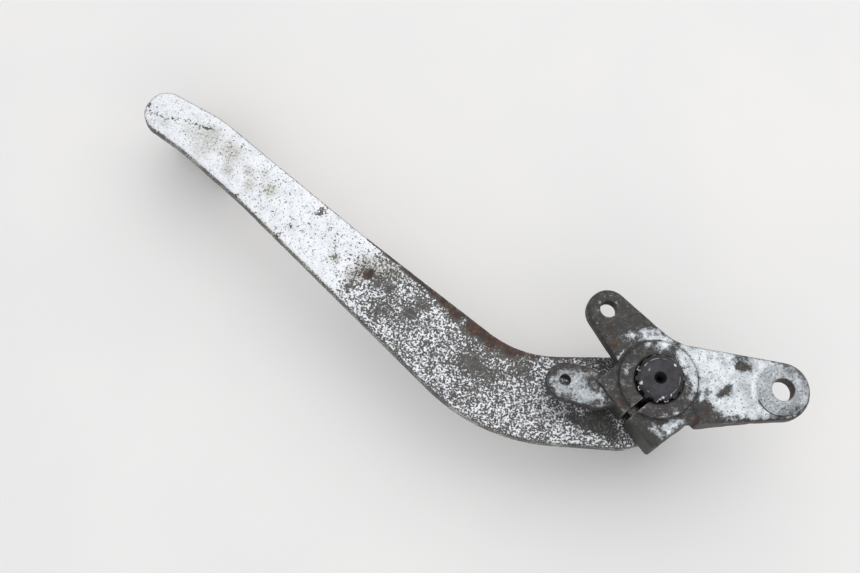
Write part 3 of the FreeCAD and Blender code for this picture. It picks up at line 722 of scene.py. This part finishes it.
def arc(centre, radius, first_deg, last_deg):
    """Points along an arc, for along_line."""
    x, y = centre
    turns = np.radians(np.linspace(first_deg, last_deg, 13))
    return [(x + radius * math.cos(turn), y + radius * math.sin(turn)) for turn in turns]


ROD_EYE_MM = (44.9, -3.0)
ROD_BOSS_R_MM = 9.5
CRANK_BORE_R_MM = 8.9
ARMS_FROM_MM = 30
# What is left of the paint, what is worn off it again and what lies on it, with a painted
# sheen, a painted highlight and painted shade among them. Spots are (x, y, radius, strength)
# and lines (points, width, strength).
CRANK_KEPT_AND_SHEEN = [
    (21, 4, 5.5, 0.62), (22, -2.5, 5, 0.5), (28, 2, 7, 0.5), (29, -7, 5, 0.6), (34, 0, 8, 0.52),
    (40, -3, 9, 0.5), (44.9, -3, 9, 0.35), (50, -4, 7, 0.5), (37, -10, 5, 0.5), (40, 6, 5, 0.45),
    (33, 8, 4, 0.3), (26, -10.6, 3.2, 0.4), (32, -10.6, 3, 0.4), (25, 9, 4, 0.5),
    (19, 9.5, 4, 0.55), (14, 11, 3.4, 0.5), (22, -8.5, 4.5, 0.55), (19, -6, 3, 0.35),
    (11.8, 4.2, 3.6, 0.66), (12.2, -1.5, 3.4, 0.64), (8.5, 9.5, 3.6, 0.6), (2, 13, 2.6, 0.5),
    (-4, 12.4, 2.2, 0.34), (16, 5, 3, 0.4), (16, -1, 3, 0.3), (10.8, -6.5, 2.4, 0.4),
    # (-11.2, 3.6) and (-11.6, 1.6) are a painted sheen on the hub's ring, not paint.
    (5, -11.5, 2, 0.28), (-11.2, 3.6, 1.6, 0.5), (-11.6, 1.6, 1.2, 0.3), (-8.6, 16.7, 2.2, 0.5),
    (-4, 17.8, 2.4, 0.55), (0.5, 17, 2.4, 0.5), (-12, 16, 2.2, 0.25), (4.5, 14.5, 2.2, 0.35),
    (-20.3, 28.7, 1, 0.6), (-13.8, 28.6, 1, 0.5), (-20.8, 25.6, 0.7, 0.5), (-1.8, -17, 2.6, 0.55),
    (3, -17.6, 2.8, 0.62), (6.4, -15, 2.2, 0.5), (0, -19.5, 2, 0.3), (-33, 0.6, 5, 0.42),
    (-29.6, -2.6, 5, 0.5), (-25.5, -5, 4.2, 0.42), (-36, -2, 3, 0.3), (-20.5, -6, 4.2, 0.4),
    (-27, 3, 3.4, 0.32), (-17, -1.5, 3, 0.25),
]
CRANK_KEPT_AND_HIGHLIGHT_LINES = [
    (arc((0, 0), 16.4, -28, 52), 0.7, 0.55),
    (arc((0, 0), 15.8, 62, 128), 0.6, 0.3),
    # This arc round the rod eye's boss is a painted highlight crescent.
    (arc(ROD_EYE_MM, 10.5, 118, 205), 0.8, 0.9),
    ([(-19, 4.6), (-14.5, 7.6), (-12, 10.6)], 0.55, 0.62),
]
CRANK_WORN_OFF = [
    (30.2, 5.4, 2.7, 0.95), (33.2, 4.4, 1.9, 0.6), (24.4, -3.4, 2.5, 1), (22.2, -5.2, 1.7, 0.6),
    (26.4, -1.2, 1.3, 0.5), (17.4, -3.4, 1.5, 0.4), (16.4, -9.5, 2.2, 0.6), (15.8, 1, 1.2, 0.3),
    (20.6, -6.4, 1.2, 0.35), (19, 3.4, 0.9, 0.4),
]
CRANK_RUST = [
    (-5.5, 21.5, 2.4, 0.35), (-17, 19.3, 2, 0.85), (-15.4, 13, 2.2, 0.75), (17.3, -2.6, 1.2, 0.35),
    (16.4, -8.6, 1.8, 0.35), (13, -13.6, 2, 0.62), (16, -11.6, 2.2, 0.35), (-12.9, -8, 1.8, 0.75),
    (-13, -4, 1.8, 0.45), (-6, 13, 1.8, 0.3), (0.6, -9.7, 1.8, 0.5), (20, -12.4, 3.4, 0.4),
    (30, -13, 3, 0.25), (-21, -4, 3, 0.3), (-32, 5, 2.4, 0.35),
]
CRANK_GRIME = [
    (-33, 6.2, 2, 0.75), (-24.2, 0.6, 2.2, 0.7), (-23, -2.4, 1.8, 0.5), (-10, 10, 3, 0.35),
    (-13, -12, 4, 0.3), (-8, -18, 4.5, 0.7), (-2.6, -22, 4, 0.9), (17.2, -3, 2, 0.3),
    (-12, 1, 3.4, 0.4), (-20, 30, 5, 0.3), (14.5, -12.5, 3, -0.5),
]
CRANK_GRIME_AND_SHADE_LINES = [
    (arc(ROD_EYE_MM, 9.9, 204, 262), 0.35, 0.9),
    # The next two arcs are painted shade along the step at the hub disc's rim.
    (arc((0, 0), 15, -100, -60), 0.8, 0.4),
    (arc((0, 0), 14.8, 130, 170), 0.8, 0.4),
    ([(-11.6, 28), (-6.8, 23.2), (-2.4, 18.8)], 1.3, 0.6),
    ([(-23.6, 22.4), (-18.2, 13.2)], 1, 0.5),
]
CRANK_STAINS = [(34, 7, 4, 0.3), (34, -3, 5, 0.42), (-29, -1, 8, 0.75), (12.5, 1, 4, 0.15)]
# Painted highlight crescent along the rod eye's boss.
CRANK_PAINTED_HIGHLIGHT_LINES = [(arc(ROD_EYE_MM, 10.5, 112, 196), 0.8, 1.1)]
BLOCK_ROOT = [(12.4, -12.0, 3.0, 1.0)]
# Each arm's hole, and how far its machined edge reaches.
EYES = {"rod_eye": 1.0, "cable_eye": 0.8, "spring_eye": 0.5}


def pin_place(name):
    """Plan position of an arm's hole."""
    return tuple(value / MM for value in MOUNTS[name]["pos_m"][:2])


def pin_radius(name):
    return MOUNTS[name]["dims"]["r_mm"]


def lines(points, table):
    """Sum of soft lines, from (line, width, strength) rows."""
    return sum(strength * along_line(points, line, width) for line, width, strength in table)


def crank_relief(points):
    """Forged skin, left out round the machined bore and holes."""
    skin = 0.11 * lumps(points, 8.0, 11)
    skin += 0.075 * lumps(points, 2.4, 12) + 0.03 * lumps(points, 1.0, 13)
    bore_edge = CRANK_BORE_R_MM + 0.3
    machined = 1 - step(distance_from(points), bore_edge, bore_edge + 1.2)
    for name, clear in EYES.items():
        away = distance_from(points, *pin_place(name)) - pin_radius(name)
        machined = np.maximum(machined, 1 - step(away, 0.15, clear))
    return np.minimum(skin, 0.0) * (1 - machined)


def crank_zones(mesh, points, normals):
    """Where the crank is painted, rubbed, rusty, soiled and stained, and where a sheen, a highlight
    and shade are painted on it.
    """
    upward = step(normals[:, 2], 0.45, 0.8)
    from_axis = distance_from(points)
    in_bore = 1 - step(from_axis, CRANK_BORE_R_MM, CRANK_BORE_R_MM + 0.4)
    at_mouth = 1 - step(from_axis, CRANK_BORE_R_MM + 0.3, CRANK_BORE_R_MM + 0.9)
    eye_spots = [(*pin_place(name), pin_radius(name) + 0.5, 1.4) for name in EYES]
    in_eye = (1 - upward) * spots(points, eye_spots)
    on_boss = 1 - step(distance_from(points, *ROD_EYE_MM) - ROD_BOSS_R_MM, -0.6, 0.2)
    deep = step(WEB_TOP_MM - points[:, 2], 2.0, 12.0)

    bend = curvature(mesh, 3) / 0.8
    chips = step(lumps(points, 2.6, 14), 0.05, 0.35)
    set_zone(mesh, "edge", bend * (1 - at_mouth * (1 - chips)))
    set_zone(mesh, "cavity", -bend * (1 - 0.7 * spots(points, BLOCK_ROOT)))
    # Paint left on the crank, with a painted sheen and a painted highlight among it.
    kept_paint_and_highlight = spots(points, CRANK_KEPT_AND_SHEEN) + lines(points, CRANK_KEPT_AND_HIGHLIGHT_LINES)
    kept_paint_and_highlight = (kept_paint_and_highlight - spots(points, CRANK_WORN_OFF)) * (0.15 + 0.85 * upward)
    set_zone(mesh, "peel", 0.95 - kept_paint_and_highlight + 0.3 * in_bore)
    set_zone(mesh, "rust", spots(points, CRANK_RUST) + 0.15 * (1 - upward) + 0.5 * in_eye)
    # These lines hold painted shade at the hub disc's step as well as dirt.
    grime_and_shade = spots(points, CRANK_GRIME) + lines(points, CRANK_GRIME_AND_SHADE_LINES)
    on_arms = from_axis > ARMS_FROM_MM
    grime_and_shade += 0.30 * np.clip(lumps(points, 3.5, 15) + 0.3, 0, 1) * on_arms
    set_zone(mesh, "grime_and_shade", grime_and_shade + 0.45 * deep + in_bore + 0.35 * in_eye)
    stain = 0.18 + 0.3 * (1 - upward) + spots(points, CRANK_STAINS) + 0.75 * on_boss
    # The painted highlight crescent is taken off the stain here.
    set_zone(mesh, "stain", stain - lines(points, CRANK_PAINTED_HIGHLIGHT_LINES))


def crank():
    """Forged crank with its three arms and split clamp block."""
    mesh = dense_copy("clamp_crank", "crank", 0.4, 2)
    points, normals = points_of(mesh), normals_of(mesh)
    raise_points(mesh, points, normals, crank_relief(points))
    crank_zones(mesh, points, normals)
    finished("crank", mesh, CRANK_PAINT, "pedal", "crank_paint", "clamp_crank")


# ---- turned and swept surfaces ----

def skin_faces(count, width, closed):
    """Faces that join each of many rows to the next. A row is a ring of this many points."""
    faces = []
    for i in range(count if closed else count - 1):
        low, high = i * width, (i + 1) % count * width
        for j in range(width):
            k = (j + 1) % width
            faces.append((low + j, low + k, high + k, high + j))
    return faces


def revolved(name, profile, segments, shape=None, place=Matrix.Identity(4)):
    """Turned surface from (radius, height) points in millimetres. A profile with both ends
    at radius 0 closes on the axis, and any other profile is a ring that closes on itself.
    shape(radius, height, angle) returns the radius and height to use there."""
    capped = profile[0][0] == 0 and profile[-1][0] == 0
    rows = profile[1:-1] if capped else profile
    vertices = []
    for radius, height in rows:
        for i in range(segments):
            angle = 2 * math.pi * i / segments
            r, z = shape(radius, height, angle) if shape else (radius, height)
            vertices.append(polar(r, angle, z))
    faces = skin_faces(len(rows), segments, closed=not capped)
    if capped:
        for end, first in ((profile[0], 0), (profile[-1], (len(rows) - 1) * segments)):
            centre = len(vertices)
            vertices.append(Vector((0, 0, end[1])))
            faces += [(centre, first + i, first + (i + 1) % segments) for i in range(segments)]
    vertices = [place @ vertex * MM for vertex in vertices]
    return facing_out(smooth_mesh(name, vertices, faces))


def swept(name, rows, closed):
    """Skin over rows of points, with a cap on both ends unless the rows run in a ring."""
    count, width = len(rows), len(rows[0])
    faces = skin_faces(count, width, closed)
    if not closed:
        last = range((count - 1) * width, count * width)
        faces += [tuple(range(width)), tuple(reversed(last))]
    return facing_out(smooth_mesh(name, [point * MM for row in rows for point in row], faces))


def with_steps(profile, longest):
    """The profile with extra points, so that no stretch is longer than this."""
    points = [profile[0]]
    for start, end in zip(profile[:-1], profile[1:]):
        count = max(1, math.ceil(math.dist(start, end) / longest))
        points += [
            tuple(a + (b - a) * i / count for a, b in zip(start, end)) for i in range(1, count + 1)
        ]
    return points


def rounded_corners(profile, radius):
    """The profile with its inner corners rounded off by short arcs."""
    result = [profile[0]]
    corners = [Vector(point) for point in profile]
    for before, here, after in zip(corners, corners[1:], corners[2:]):
        back = min(radius, (before - here).length * 0.45)
        forth = min(radius, (after - here).length * 0.45)
        start = here + (before - here).normalized() * back
        end = here + (after - here).normalized() * forth
        for share in (0.0, 0.25, 0.5, 0.75, 1.0):
            near = start.lerp(here, share).lerp(here.lerp(end, share), share)
            result.append(tuple(near))
    return [*result, profile[-1]]


def ring_profile(corners, radius, longest):
    """Closed profile for revolved(), its corners but the first rounded off."""
    return with_steps(rounded_corners(corners + corners[:1], radius), longest)[:-1]


# ---- shaft ----

SERRATIONS = 14
SERRATION_TIP_MM, SERRATION_ROOT_MM = 8.75, 7.95
SHAFT_END_R_MM, DRILL_R_MM, PILOT_R_MM = 6.9, 2.25, 1.0
COLLAR_R_MM = 12.5


def serration(angle):
    """Radius of the worn serrations at an angle."""
    share = abs((angle * SERRATIONS / (2 * math.pi) + 0.5) % 1.0 - 0.5)
    blend = min(1.0, max(0.0, (share - 0.15) / 0.15))
    blend = blend * blend * (3 - 2 * blend)
    nick = 0.10 * noise.noise(polar(4.0, angle, 0.2))
    filled = 0.35 + 0.35 * math.cos(angle - 0.9)
    depth = (SERRATION_TIP_MM - SERRATION_ROOT_MM) * (1 - filled)
    return SERRATION_TIP_MM - depth * blend - abs(nick)


# Rubbed spots on the shaft's end, as (x, y, radius, strength).
SHAFT_RUBS = [
    (-3.4, 3.6, 1.3, 0.4), (-4.2, 2.4, 0.9, 0.4), (0.6, -7.2, 0.5, 0.7), (-0.5, -8, 0.5, 0.6),
    (5.4, 4.6, 0.6, 0.7), (-7, -2, 0.6, 0.6), (-7.6, 2.6, 0.6, 0.5), (3.4, -6.6, 0.6, 0.5),
]


def shaft():
    """Turned shaft with collar and a worn serrated end."""
    low, seat, top = SHAFT_LOW_MM, LEVER_LOW_MM, SHAFT_TOP_MM
    groove_r, journal_r, seat_r = 7.7, 8.5, 9.95
    groove_low, groove_high = 1.9, 3.3
    profile = [
        (0, low), (groove_r, low), (journal_r, low + 0.8), (journal_r, groove_low),
        (groove_r, groove_low), (groove_r, groove_high), (journal_r, groove_high),
        (journal_r, seat - 3.0), (COLLAR_R_MM, seat - 3.0), (COLLAR_R_MM, seat), (seat_r, seat),
        (seat_r, LEVER_TOP_MM), (SERRATION_TIP_MM, LEVER_TOP_MM), (SERRATION_TIP_MM, top - 1.5),
        (SHAFT_END_R_MM + 0.4, top - 0.2), (SHAFT_END_R_MM, top), (DRILL_R_MM + 0.2, top - 0.05),
        (DRILL_R_MM, top - 0.15), (PILOT_R_MM, top - 2.2), (PILOT_R_MM, top - 5.9),
        (0, top - 6.5),
    ]

    def shape(radius, height, angle):
        wobble = 0.03 * noise.noise(polar(1, angle, height) * 2.1)
        if height > LEVER_TOP_MM - 0.01 and radius > SERRATION_ROOT_MM - 0.7:
            return min(radius, serration(angle)) + wobble, height
        if height > top - 0.3 and radius > DRILL_R_MM:
            return radius, height - abs(wobble)
        return radius, height

    profile = with_steps(rounded_corners(profile, 0.18), 0.5)
    mesh = revolved("shaft", profile, SERRATIONS * 24, shape)
    shaft_zones(mesh, points_of(mesh))
    finished("shaft", mesh, SHAFT_STEEL, "pedal", "shaft_steel", "pivot_shaft")


def shaft_zones(mesh, points):
    """Where the shaft's end is rubbed bright, with a painted highlight stronger towards +x, and
    where it is darkened by packed dirt and painted shade.
    """
    from_axis = distance_from(points)
    from_end = SHAFT_TOP_MM - points[:, 2]
    past_end = from_axis - SHAFT_END_R_MM
    bend = curvature(mesh, 2) / 1.6
    at_end = 1 - step(from_end, 2.0, 3.0)
    # The chamfer, the serration roots and the centre drill are darkened as packed dirt and painted
    # shade.
    chamfer = at_end * step(past_end, 0.4, 0.7) * (0.34 + 0.6 * lumps(points, 1.6, 41))
    centre = at_end * (1 - step(from_axis, 2.0, 2.6))
    rubs = spots(points, SHAFT_RUBS) * (1 - step(from_end, 0.6, 1.2))
    on_rim = step(past_end, -0.5, -0.2) * (1 - step(past_end, 0.5, 0.9))
    # The rim is worn bright and painted brighter towards +x as a highlight.
    rim_wear_and_highlight = on_rim * (0.36 + 0.22 * points[:, 0] / from_axis.clip(1.0))
    chips = step(from_axis, 3.5, 4.5) * step(lumps(points, 2.0, 42) + rim_wear_and_highlight, 0.05, 0.4)
    set_zone(mesh, "edge", bend * chips + rubs)
    set_zone(mesh, "cavity", -bend + chamfer + 0.5 * centre)


# ---- sleeve and seal ----

def sleeve():
    """Black sleeve: a seat for the frame's lug and a thicker shoulder above."""
    high = box_mm("pivot_sleeve")[1].z
    bore_r, pocket_r, seat_r, shoulder_r = 10.5, 13.4, 15.0, 16.5
    pocket_top, seat_top = 6.2, 12.0
    corners = [
        (bore_r, pocket_top), (pocket_r, pocket_top), (pocket_r, 0), (seat_r, 0),
        (seat_r, seat_top), (shoulder_r, seat_top), (shoulder_r, high - 0.8),
        (shoulder_r - 0.8, high), (bore_r, high),
    ]

    def shape(radius, height, angle):
        peel = 0.05 * abs(noise.noise(polar(3, angle, height / 3)))
        return radius - peel * (radius > seat_r - 0.1), height

    mesh = revolved("sleeve", ring_profile(corners, 0.25, 0.8), 160, shape)
    set_edge_zones(mesh, 2, 1.2)
    finished("sleeve", mesh, SLEEVE_ENAMEL, "pivot", "sleeve_paint", "pivot_sleeve")


def top_seal():
    """Rubber ring with a soft lip."""
    lowest, highest = box_mm("upper_dust_seal")
    low, high, outer = lowest.z, highest.z, highest.x
    inner = outer - 2.65
    corners = [
        (inner, low), (outer, low), (outer, high - 1.0), (outer - 0.55, high - 0.7),
        (outer - 0.6, high - 0.3), (outer - 0.9, high), (inner + 0.4, high), (inner, high - 0.5),
    ]
    mesh = revolved("top_seal", ring_profile(corners, 0.2, 0.4), 144)
    set_edge_zones(mesh, 2, 2.0)
    finished("top_seal", mesh, SEAL_RUBBER, "pivot", "seal_rubber", "upper_dust_seal")


# ---- welds ----

RIPPLE_MM, RIPPLE_HIGH_MM = 1.7, 0.16


def bead(name, stations, leg, closed):
    """Fillet bead with crescent ripples, below a run of (corner, outward) stations. Its ends
    thin out unless it is closed."""
    across = 14
    rows = []
    travelled = 0.0
    for index, (corner, outward) in enumerate(stations):
        if index:
            travelled += (corner - stations[index - 1][0]).length
        taper = 1.0
        if not closed:
            from_middle = abs(2 * index / (len(stations) - 1) - 1)
            taper = 0.02 + 0.98 * math.sqrt(1 - from_middle ** 12)
        row = [corner - (outward + DOWN) * 0.05]
        for j in range(across + 1):
            turn = math.pi / 2 * j / across
            crown = math.sin(2 * turn)
            phase = (travelled / RIPPLE_MM + 0.55 * crown) * math.pi
            ripple = RIPPLE_HIGH_MM * abs(math.sin(phase))
            rough = 0.10 * noise.noise(corner * 0.6 + outward * turn)
            reach = (leg * (1 - 0.24 * crown) + (ripple + rough) * crown) * taper
            row.append(corner + (outward * math.sin(turn) + DOWN * math.cos(turn)) * reach)
        rows.append(row)
    mesh = swept(name, rows, closed)
    set_edge_zones(mesh, 1, 2.2)
    return mesh


def shaft_bead():
    leg, count = 2.7, 420
    stations = []
    for i in range(count):
        outward = polar(1, 2 * math.pi * i / count, 0)
        stations.append((outward * COLLAR_R_MM - DOWN * LEVER_LOW_MM, outward))
    mesh = bead("shaft_bead", stations, leg, closed=True)
    finished("shaft_bead", mesh, WELD, "pedal", "weld_steel", "shaft_weld")


def in_pad_frame(x, y, z):
    """From the pad's directions, X along the arm and Y away from the tread, to the frame."""
    return Vector((*PAD_CENTRE_MM, z)) + PAD_ALONG * x + PAD_BACK * y


def pad_bead():
    plate_thickness, leg, half, count = 4.0, 2.85, 13.0, 160
    stations = []
    for i in range(count + 1):
        x = -half + 2 * half * i / count
        stations.append((in_pad_frame(x, plate_thickness, LEVER_LOW_MM), PAD_BACK))
    mesh = bead("pad_bead", stations, leg, closed=False)
    finished("pad_bead", mesh, WELD, "pedal", "weld_steel", "pad_weld")


# ---- foot pad ----

def tread():
    """Ribbed rubber block, its rib edges worn round."""
    mesh = dense_copy("pad_rubber", "tread", 0.32, 5)
    points, normals = points_of(mesh), normals_of(mesh)
    worn = 0.10 * lumps(points, 5.0, 21) + 0.04 * lumps(points, 1.1, 22)
    raise_points(mesh, points, normals, np.minimum(worn, 0.03))
    set_edge_zones(mesh, 3, 0.8)
    finished("tread", mesh, PAD_RUBBER, "pedal", "pad_rubber", "pad_rubber")


def pad_bracket():
    """Upright plate that carries the tread, painted with the arm."""
    mesh = dense_copy("pad_plate", "pad_bracket", 0.4, 2)
    points, normals = points_of(mesh), normals_of(mesh)
    worn = 0.05 * lumps(points, 6.0, 31) + 0.03 * lumps(points, 1.8, 32)
    raise_points(mesh, points, normals, np.minimum(worn, 0.0))
    set_edge_zones(mesh, 3, 0.9)
    low = 1 - step(points[:, 2], 0.5, 9.0)
    set_zone(mesh, "peel", 0.16 + 0.5 * low)
    set_zone(mesh, "rust", 0.15 + 0.45 * low)
    set_zone(mesh, "stain", np.full(len(points), 0.35))
    set_zone(mesh, "grime_and_shade", 0.10 + 0.2 * low)
    finished("pad_bracket", mesh, LEVER_PAINT, "pedal", "lever_paint", "pad_plate")


def rivet(name, x, seed):
    """Round-headed rivet with hammer flats, through rubber and plate."""
    head_r, shank_r = 3.6, 1.97
    front, back = -3.5, 4.0
    profile = [
        (0, front - 1.4), (1.4, front - 1.36), (2.6, front - 1.05), (3.4, front - 0.5),
        (head_r, front), (shank_r, front), (shank_r, back), (head_r, back), (3.4, back + 0.6),
        (2.6, back + 1.2), (1.4, back + 1.54), (0, back + 1.6),
    ]

    def shape(radius, along, angle):
        flat = 0.09 * noise.noise(polar(radius, angle, along) * 0.7 + Vector((seed, 0, 0)))
        return radius - abs(flat) * (radius > shank_r), along

    turn = Matrix((PAD_ALONG, PAD_BACK.cross(PAD_ALONG), PAD_BACK)).transposed().to_4x4()
    place = Matrix.Translation(in_pad_frame(x, 0, middle_mm("pad_rubber"))) @ turn
    mesh = revolved(name, with_steps(profile, 0.35), 48, shape, place)
    set_edge_zones(mesh, 1, 2.0)
    finished(name, mesh, ZINC, "pedal", "zinc_plated", "pad_rivets")


def rivets():
    pitch = 14.0
    rivet("rivet_hub_side", -pitch / 2, 1.0)
    rivet("rivet_tip_side", pitch / 2, 5.0)


# ---- small hardware ----

BOLT_AT_MM = -11.7
BOLT_HEAD_FROM_MM = -17.6
BOLT_HEAD_MM = 5.0


def along_bolt(distance):
    """Matrix of a frame on the bolt's axis, Z the way the bolt is driven in."""
    clamp = Matrix.Rotation(CLAMP_TURN, 4, "Z")
    local = Matrix.Translation((BOLT_AT_MM, distance, middle_mm("pinch_bolt")))
    return clamp @ local @ Matrix.Rotation(-math.pi / 2, 4, "X")


def hexagon(angle, flats):
    """Radius of a hexagon, flats apart, at an angle."""
    return flats / 2 / math.cos((angle + math.pi / 6) % (math.pi / 3) - math.pi / 6)


def cap_screw():
    """Cap screw: knurled head, hexagon socket, cut thread."""
    head, length = BOLT_HEAD_MM, 20.0
    head_r, knurls, knurl_depth = 4.25, 60, 0.10
    thread_r, pitch, thread_depth = 2.45, 0.8, 0.42
    socket_r, socket_depth = 2.0, 2.5
    end = head + length
    profile = [
        (0, socket_depth), (socket_r - 0.1, socket_depth - 0.1), (socket_r, 0.25),
        (socket_r + 0.35, 0), (head_r - 0.7, 0), (head_r - 0.15, 0.25), (head_r, 0.7),
        (head_r, head - 0.3), (head_r - 0.3, head), (thread_r, head), (thread_r, end - 0.7),
        (thread_r - 0.7, end), (0, end),
    ]

    def shape(radius, along, angle):
        if along > head + 0.2 and radius > 1.0:
            turn = (along / pitch - angle / (2 * math.pi)) % 1.0
            return radius - thread_depth * abs(2 * turn - 1), along
        if radius > head_r - 0.2 and 0.6 < along < head - 0.4:
            return radius - knurl_depth * abs(math.sin(angle * knurls / 2)), along
        if along < socket_depth and 0 < radius <= socket_r + 0.4:
            wall = min(radius + 0.4, hexagon(angle, 2 * socket_r))
            return wall * min(1.0, radius / 1.85), along
        return radius, along

    place = along_bolt(BOLT_HEAD_FROM_MM)
    mesh = revolved("cap_screw", with_steps(profile, 0.16), 120, shape, place)
    set_edge_zones(mesh, 1, 2.5)
    finished("cap_screw", mesh, ZINC, "pedal", "zinc_plated", "pinch_bolt")


def lock_washer():
    """Split spring washer, its ends twisted a little apart."""
    inner, outer, thickness, gap, count = 2.6, 4.15, 1.3, math.radians(9), 90
    outline = [
        (inner, 0.12), (inner + 0.12, 0.06), (outer - 0.15, 0.06), (outer, 0.2),
        (outer, thickness - 0.2), (outer - 0.15, thickness - 0.06),
        (inner + 0.12, thickness - 0.06), (inner, thickness - 0.12),
    ]
    place = along_bolt(BOLT_HEAD_FROM_MM + BOLT_HEAD_MM)
    rows = []
    for i in range(count + 1):
        angle = math.pi + gap / 2 + (2 * math.pi - gap) * i / count
        lift = 0.10 * (i / count - 0.5)
        rows.append([place @ polar(r, angle, z + lift * (1 - 0.1 * z)) for r, z in outline])
    mesh = swept("lock_washer", rows, closed=False)
    finished("lock_washer", mesh, SPRING_STEEL, "pedal", "spring_steel", "pinch_lock_washer")


def nipple():
    """Grease nipple: thread, hexagon, waist and ball head with its ball."""
    foot, hexagon_high = 16.6, 3.2
    outline = [
        (0, -4.5), (2.1, -4.5), (2.45, -4.0), (2.45, 0), (3.46, 0), (4.0, 0.35), (4.0, 2.9),
        (3.5, hexagon_high), (2.3, 3.25), (1.95, 3.9), (1.9, 5.2), (2.1, 5.6), (2.75, 6.2),
        (2.9, 6.9), (2.75, 7.5), (2.2, 8.2), (1.55, 8.7), (0.95, 8.8), (0.8, 8.55), (0.55, 8.7),
        (0, 8.8),
    ]

    def shape(radius, along, angle):
        if -0.01 <= along - foot <= hexagon_high + 0.01 and radius > 2.46:
            return min(radius, hexagon(angle, 7.0)), along
        return radius, along

    turn = Matrix.Rotation(math.radians(165), 4, "Z") @ Matrix.Rotation(math.pi / 2, 4, "Y")
    place = Matrix.Translation((0, 0, middle_mm("grease_nipple"))) @ turn
    profile = with_steps([(radius, foot + along) for radius, along in outline], 0.22)
    mesh = revolved("nipple", profile, 96, shape, place)
    set_edge_zones(mesh, 1, 2.5)
    finished("nipple", mesh, ZINC, "pivot", "zinc_plated", "grease_nipple")


# ---- CAD pieces that stay ----

KEPT_NODES = {
    "upper_bush": BRONZE,
    "lower_bush": BRONZE,
    "lower_dust_seal": SEAL_RUBBER,
    "upper_thrust_washer": WASHER_STEEL,
    "lower_thrust_washer": WASHER_STEEL,
    "retaining_clip": SPRING_STEEL,
    "pinch_flat_washer": ZINC,
}


def dress_kept_nodes():
    """These keep their CAD shape, with broken edges and their own material."""
    for name, material in KEPT_NODES.items():
        obj = NODES[name]
        obj.data.materials.clear()
        obj.data.materials.append(material)
        bevel = obj.modifiers.new("broken_edges", "BEVEL")
        bevel.width = 0.12 * MM
        bevel.segments = 2
        bevel.limit_method = "ANGLE"


# ---- stage ----

def add_floor():
    half = 3.0
    corners = [(-half, -half, 0), (half, -half, 0), (half, half, 0), (-half, half, 0)]
    mesh = smooth_mesh("floor", corners, [(0, 1, 2, 3)])
    floor = new_object("floor", mesh, floor_material())


add_camera()
add_world()
add_area_light("key", (0.45, 0.75, 1.25), 1.1, 4.1, (1.0, 0.98, 0.95))
add_area_light("top", (-0.3, -0.05, 1.0), 1.3, 1.6, (0.95, 0.975, 1.0))
add_area_light("fill", (0.25, -0.8, 0.8), 1.2, 2.0, (1.0, 0.99, 0.98))
add_floor()
for build in (
    pedal_arm, crank, shaft, sleeve, top_seal, shaft_bead, pad_bead, tread, pad_bracket, rivets,
    cap_screw, lock_washer, nipple, dress_kept_nodes,
):
    build()
bpy.context.scene.view_settings.view_transform = "Standard"
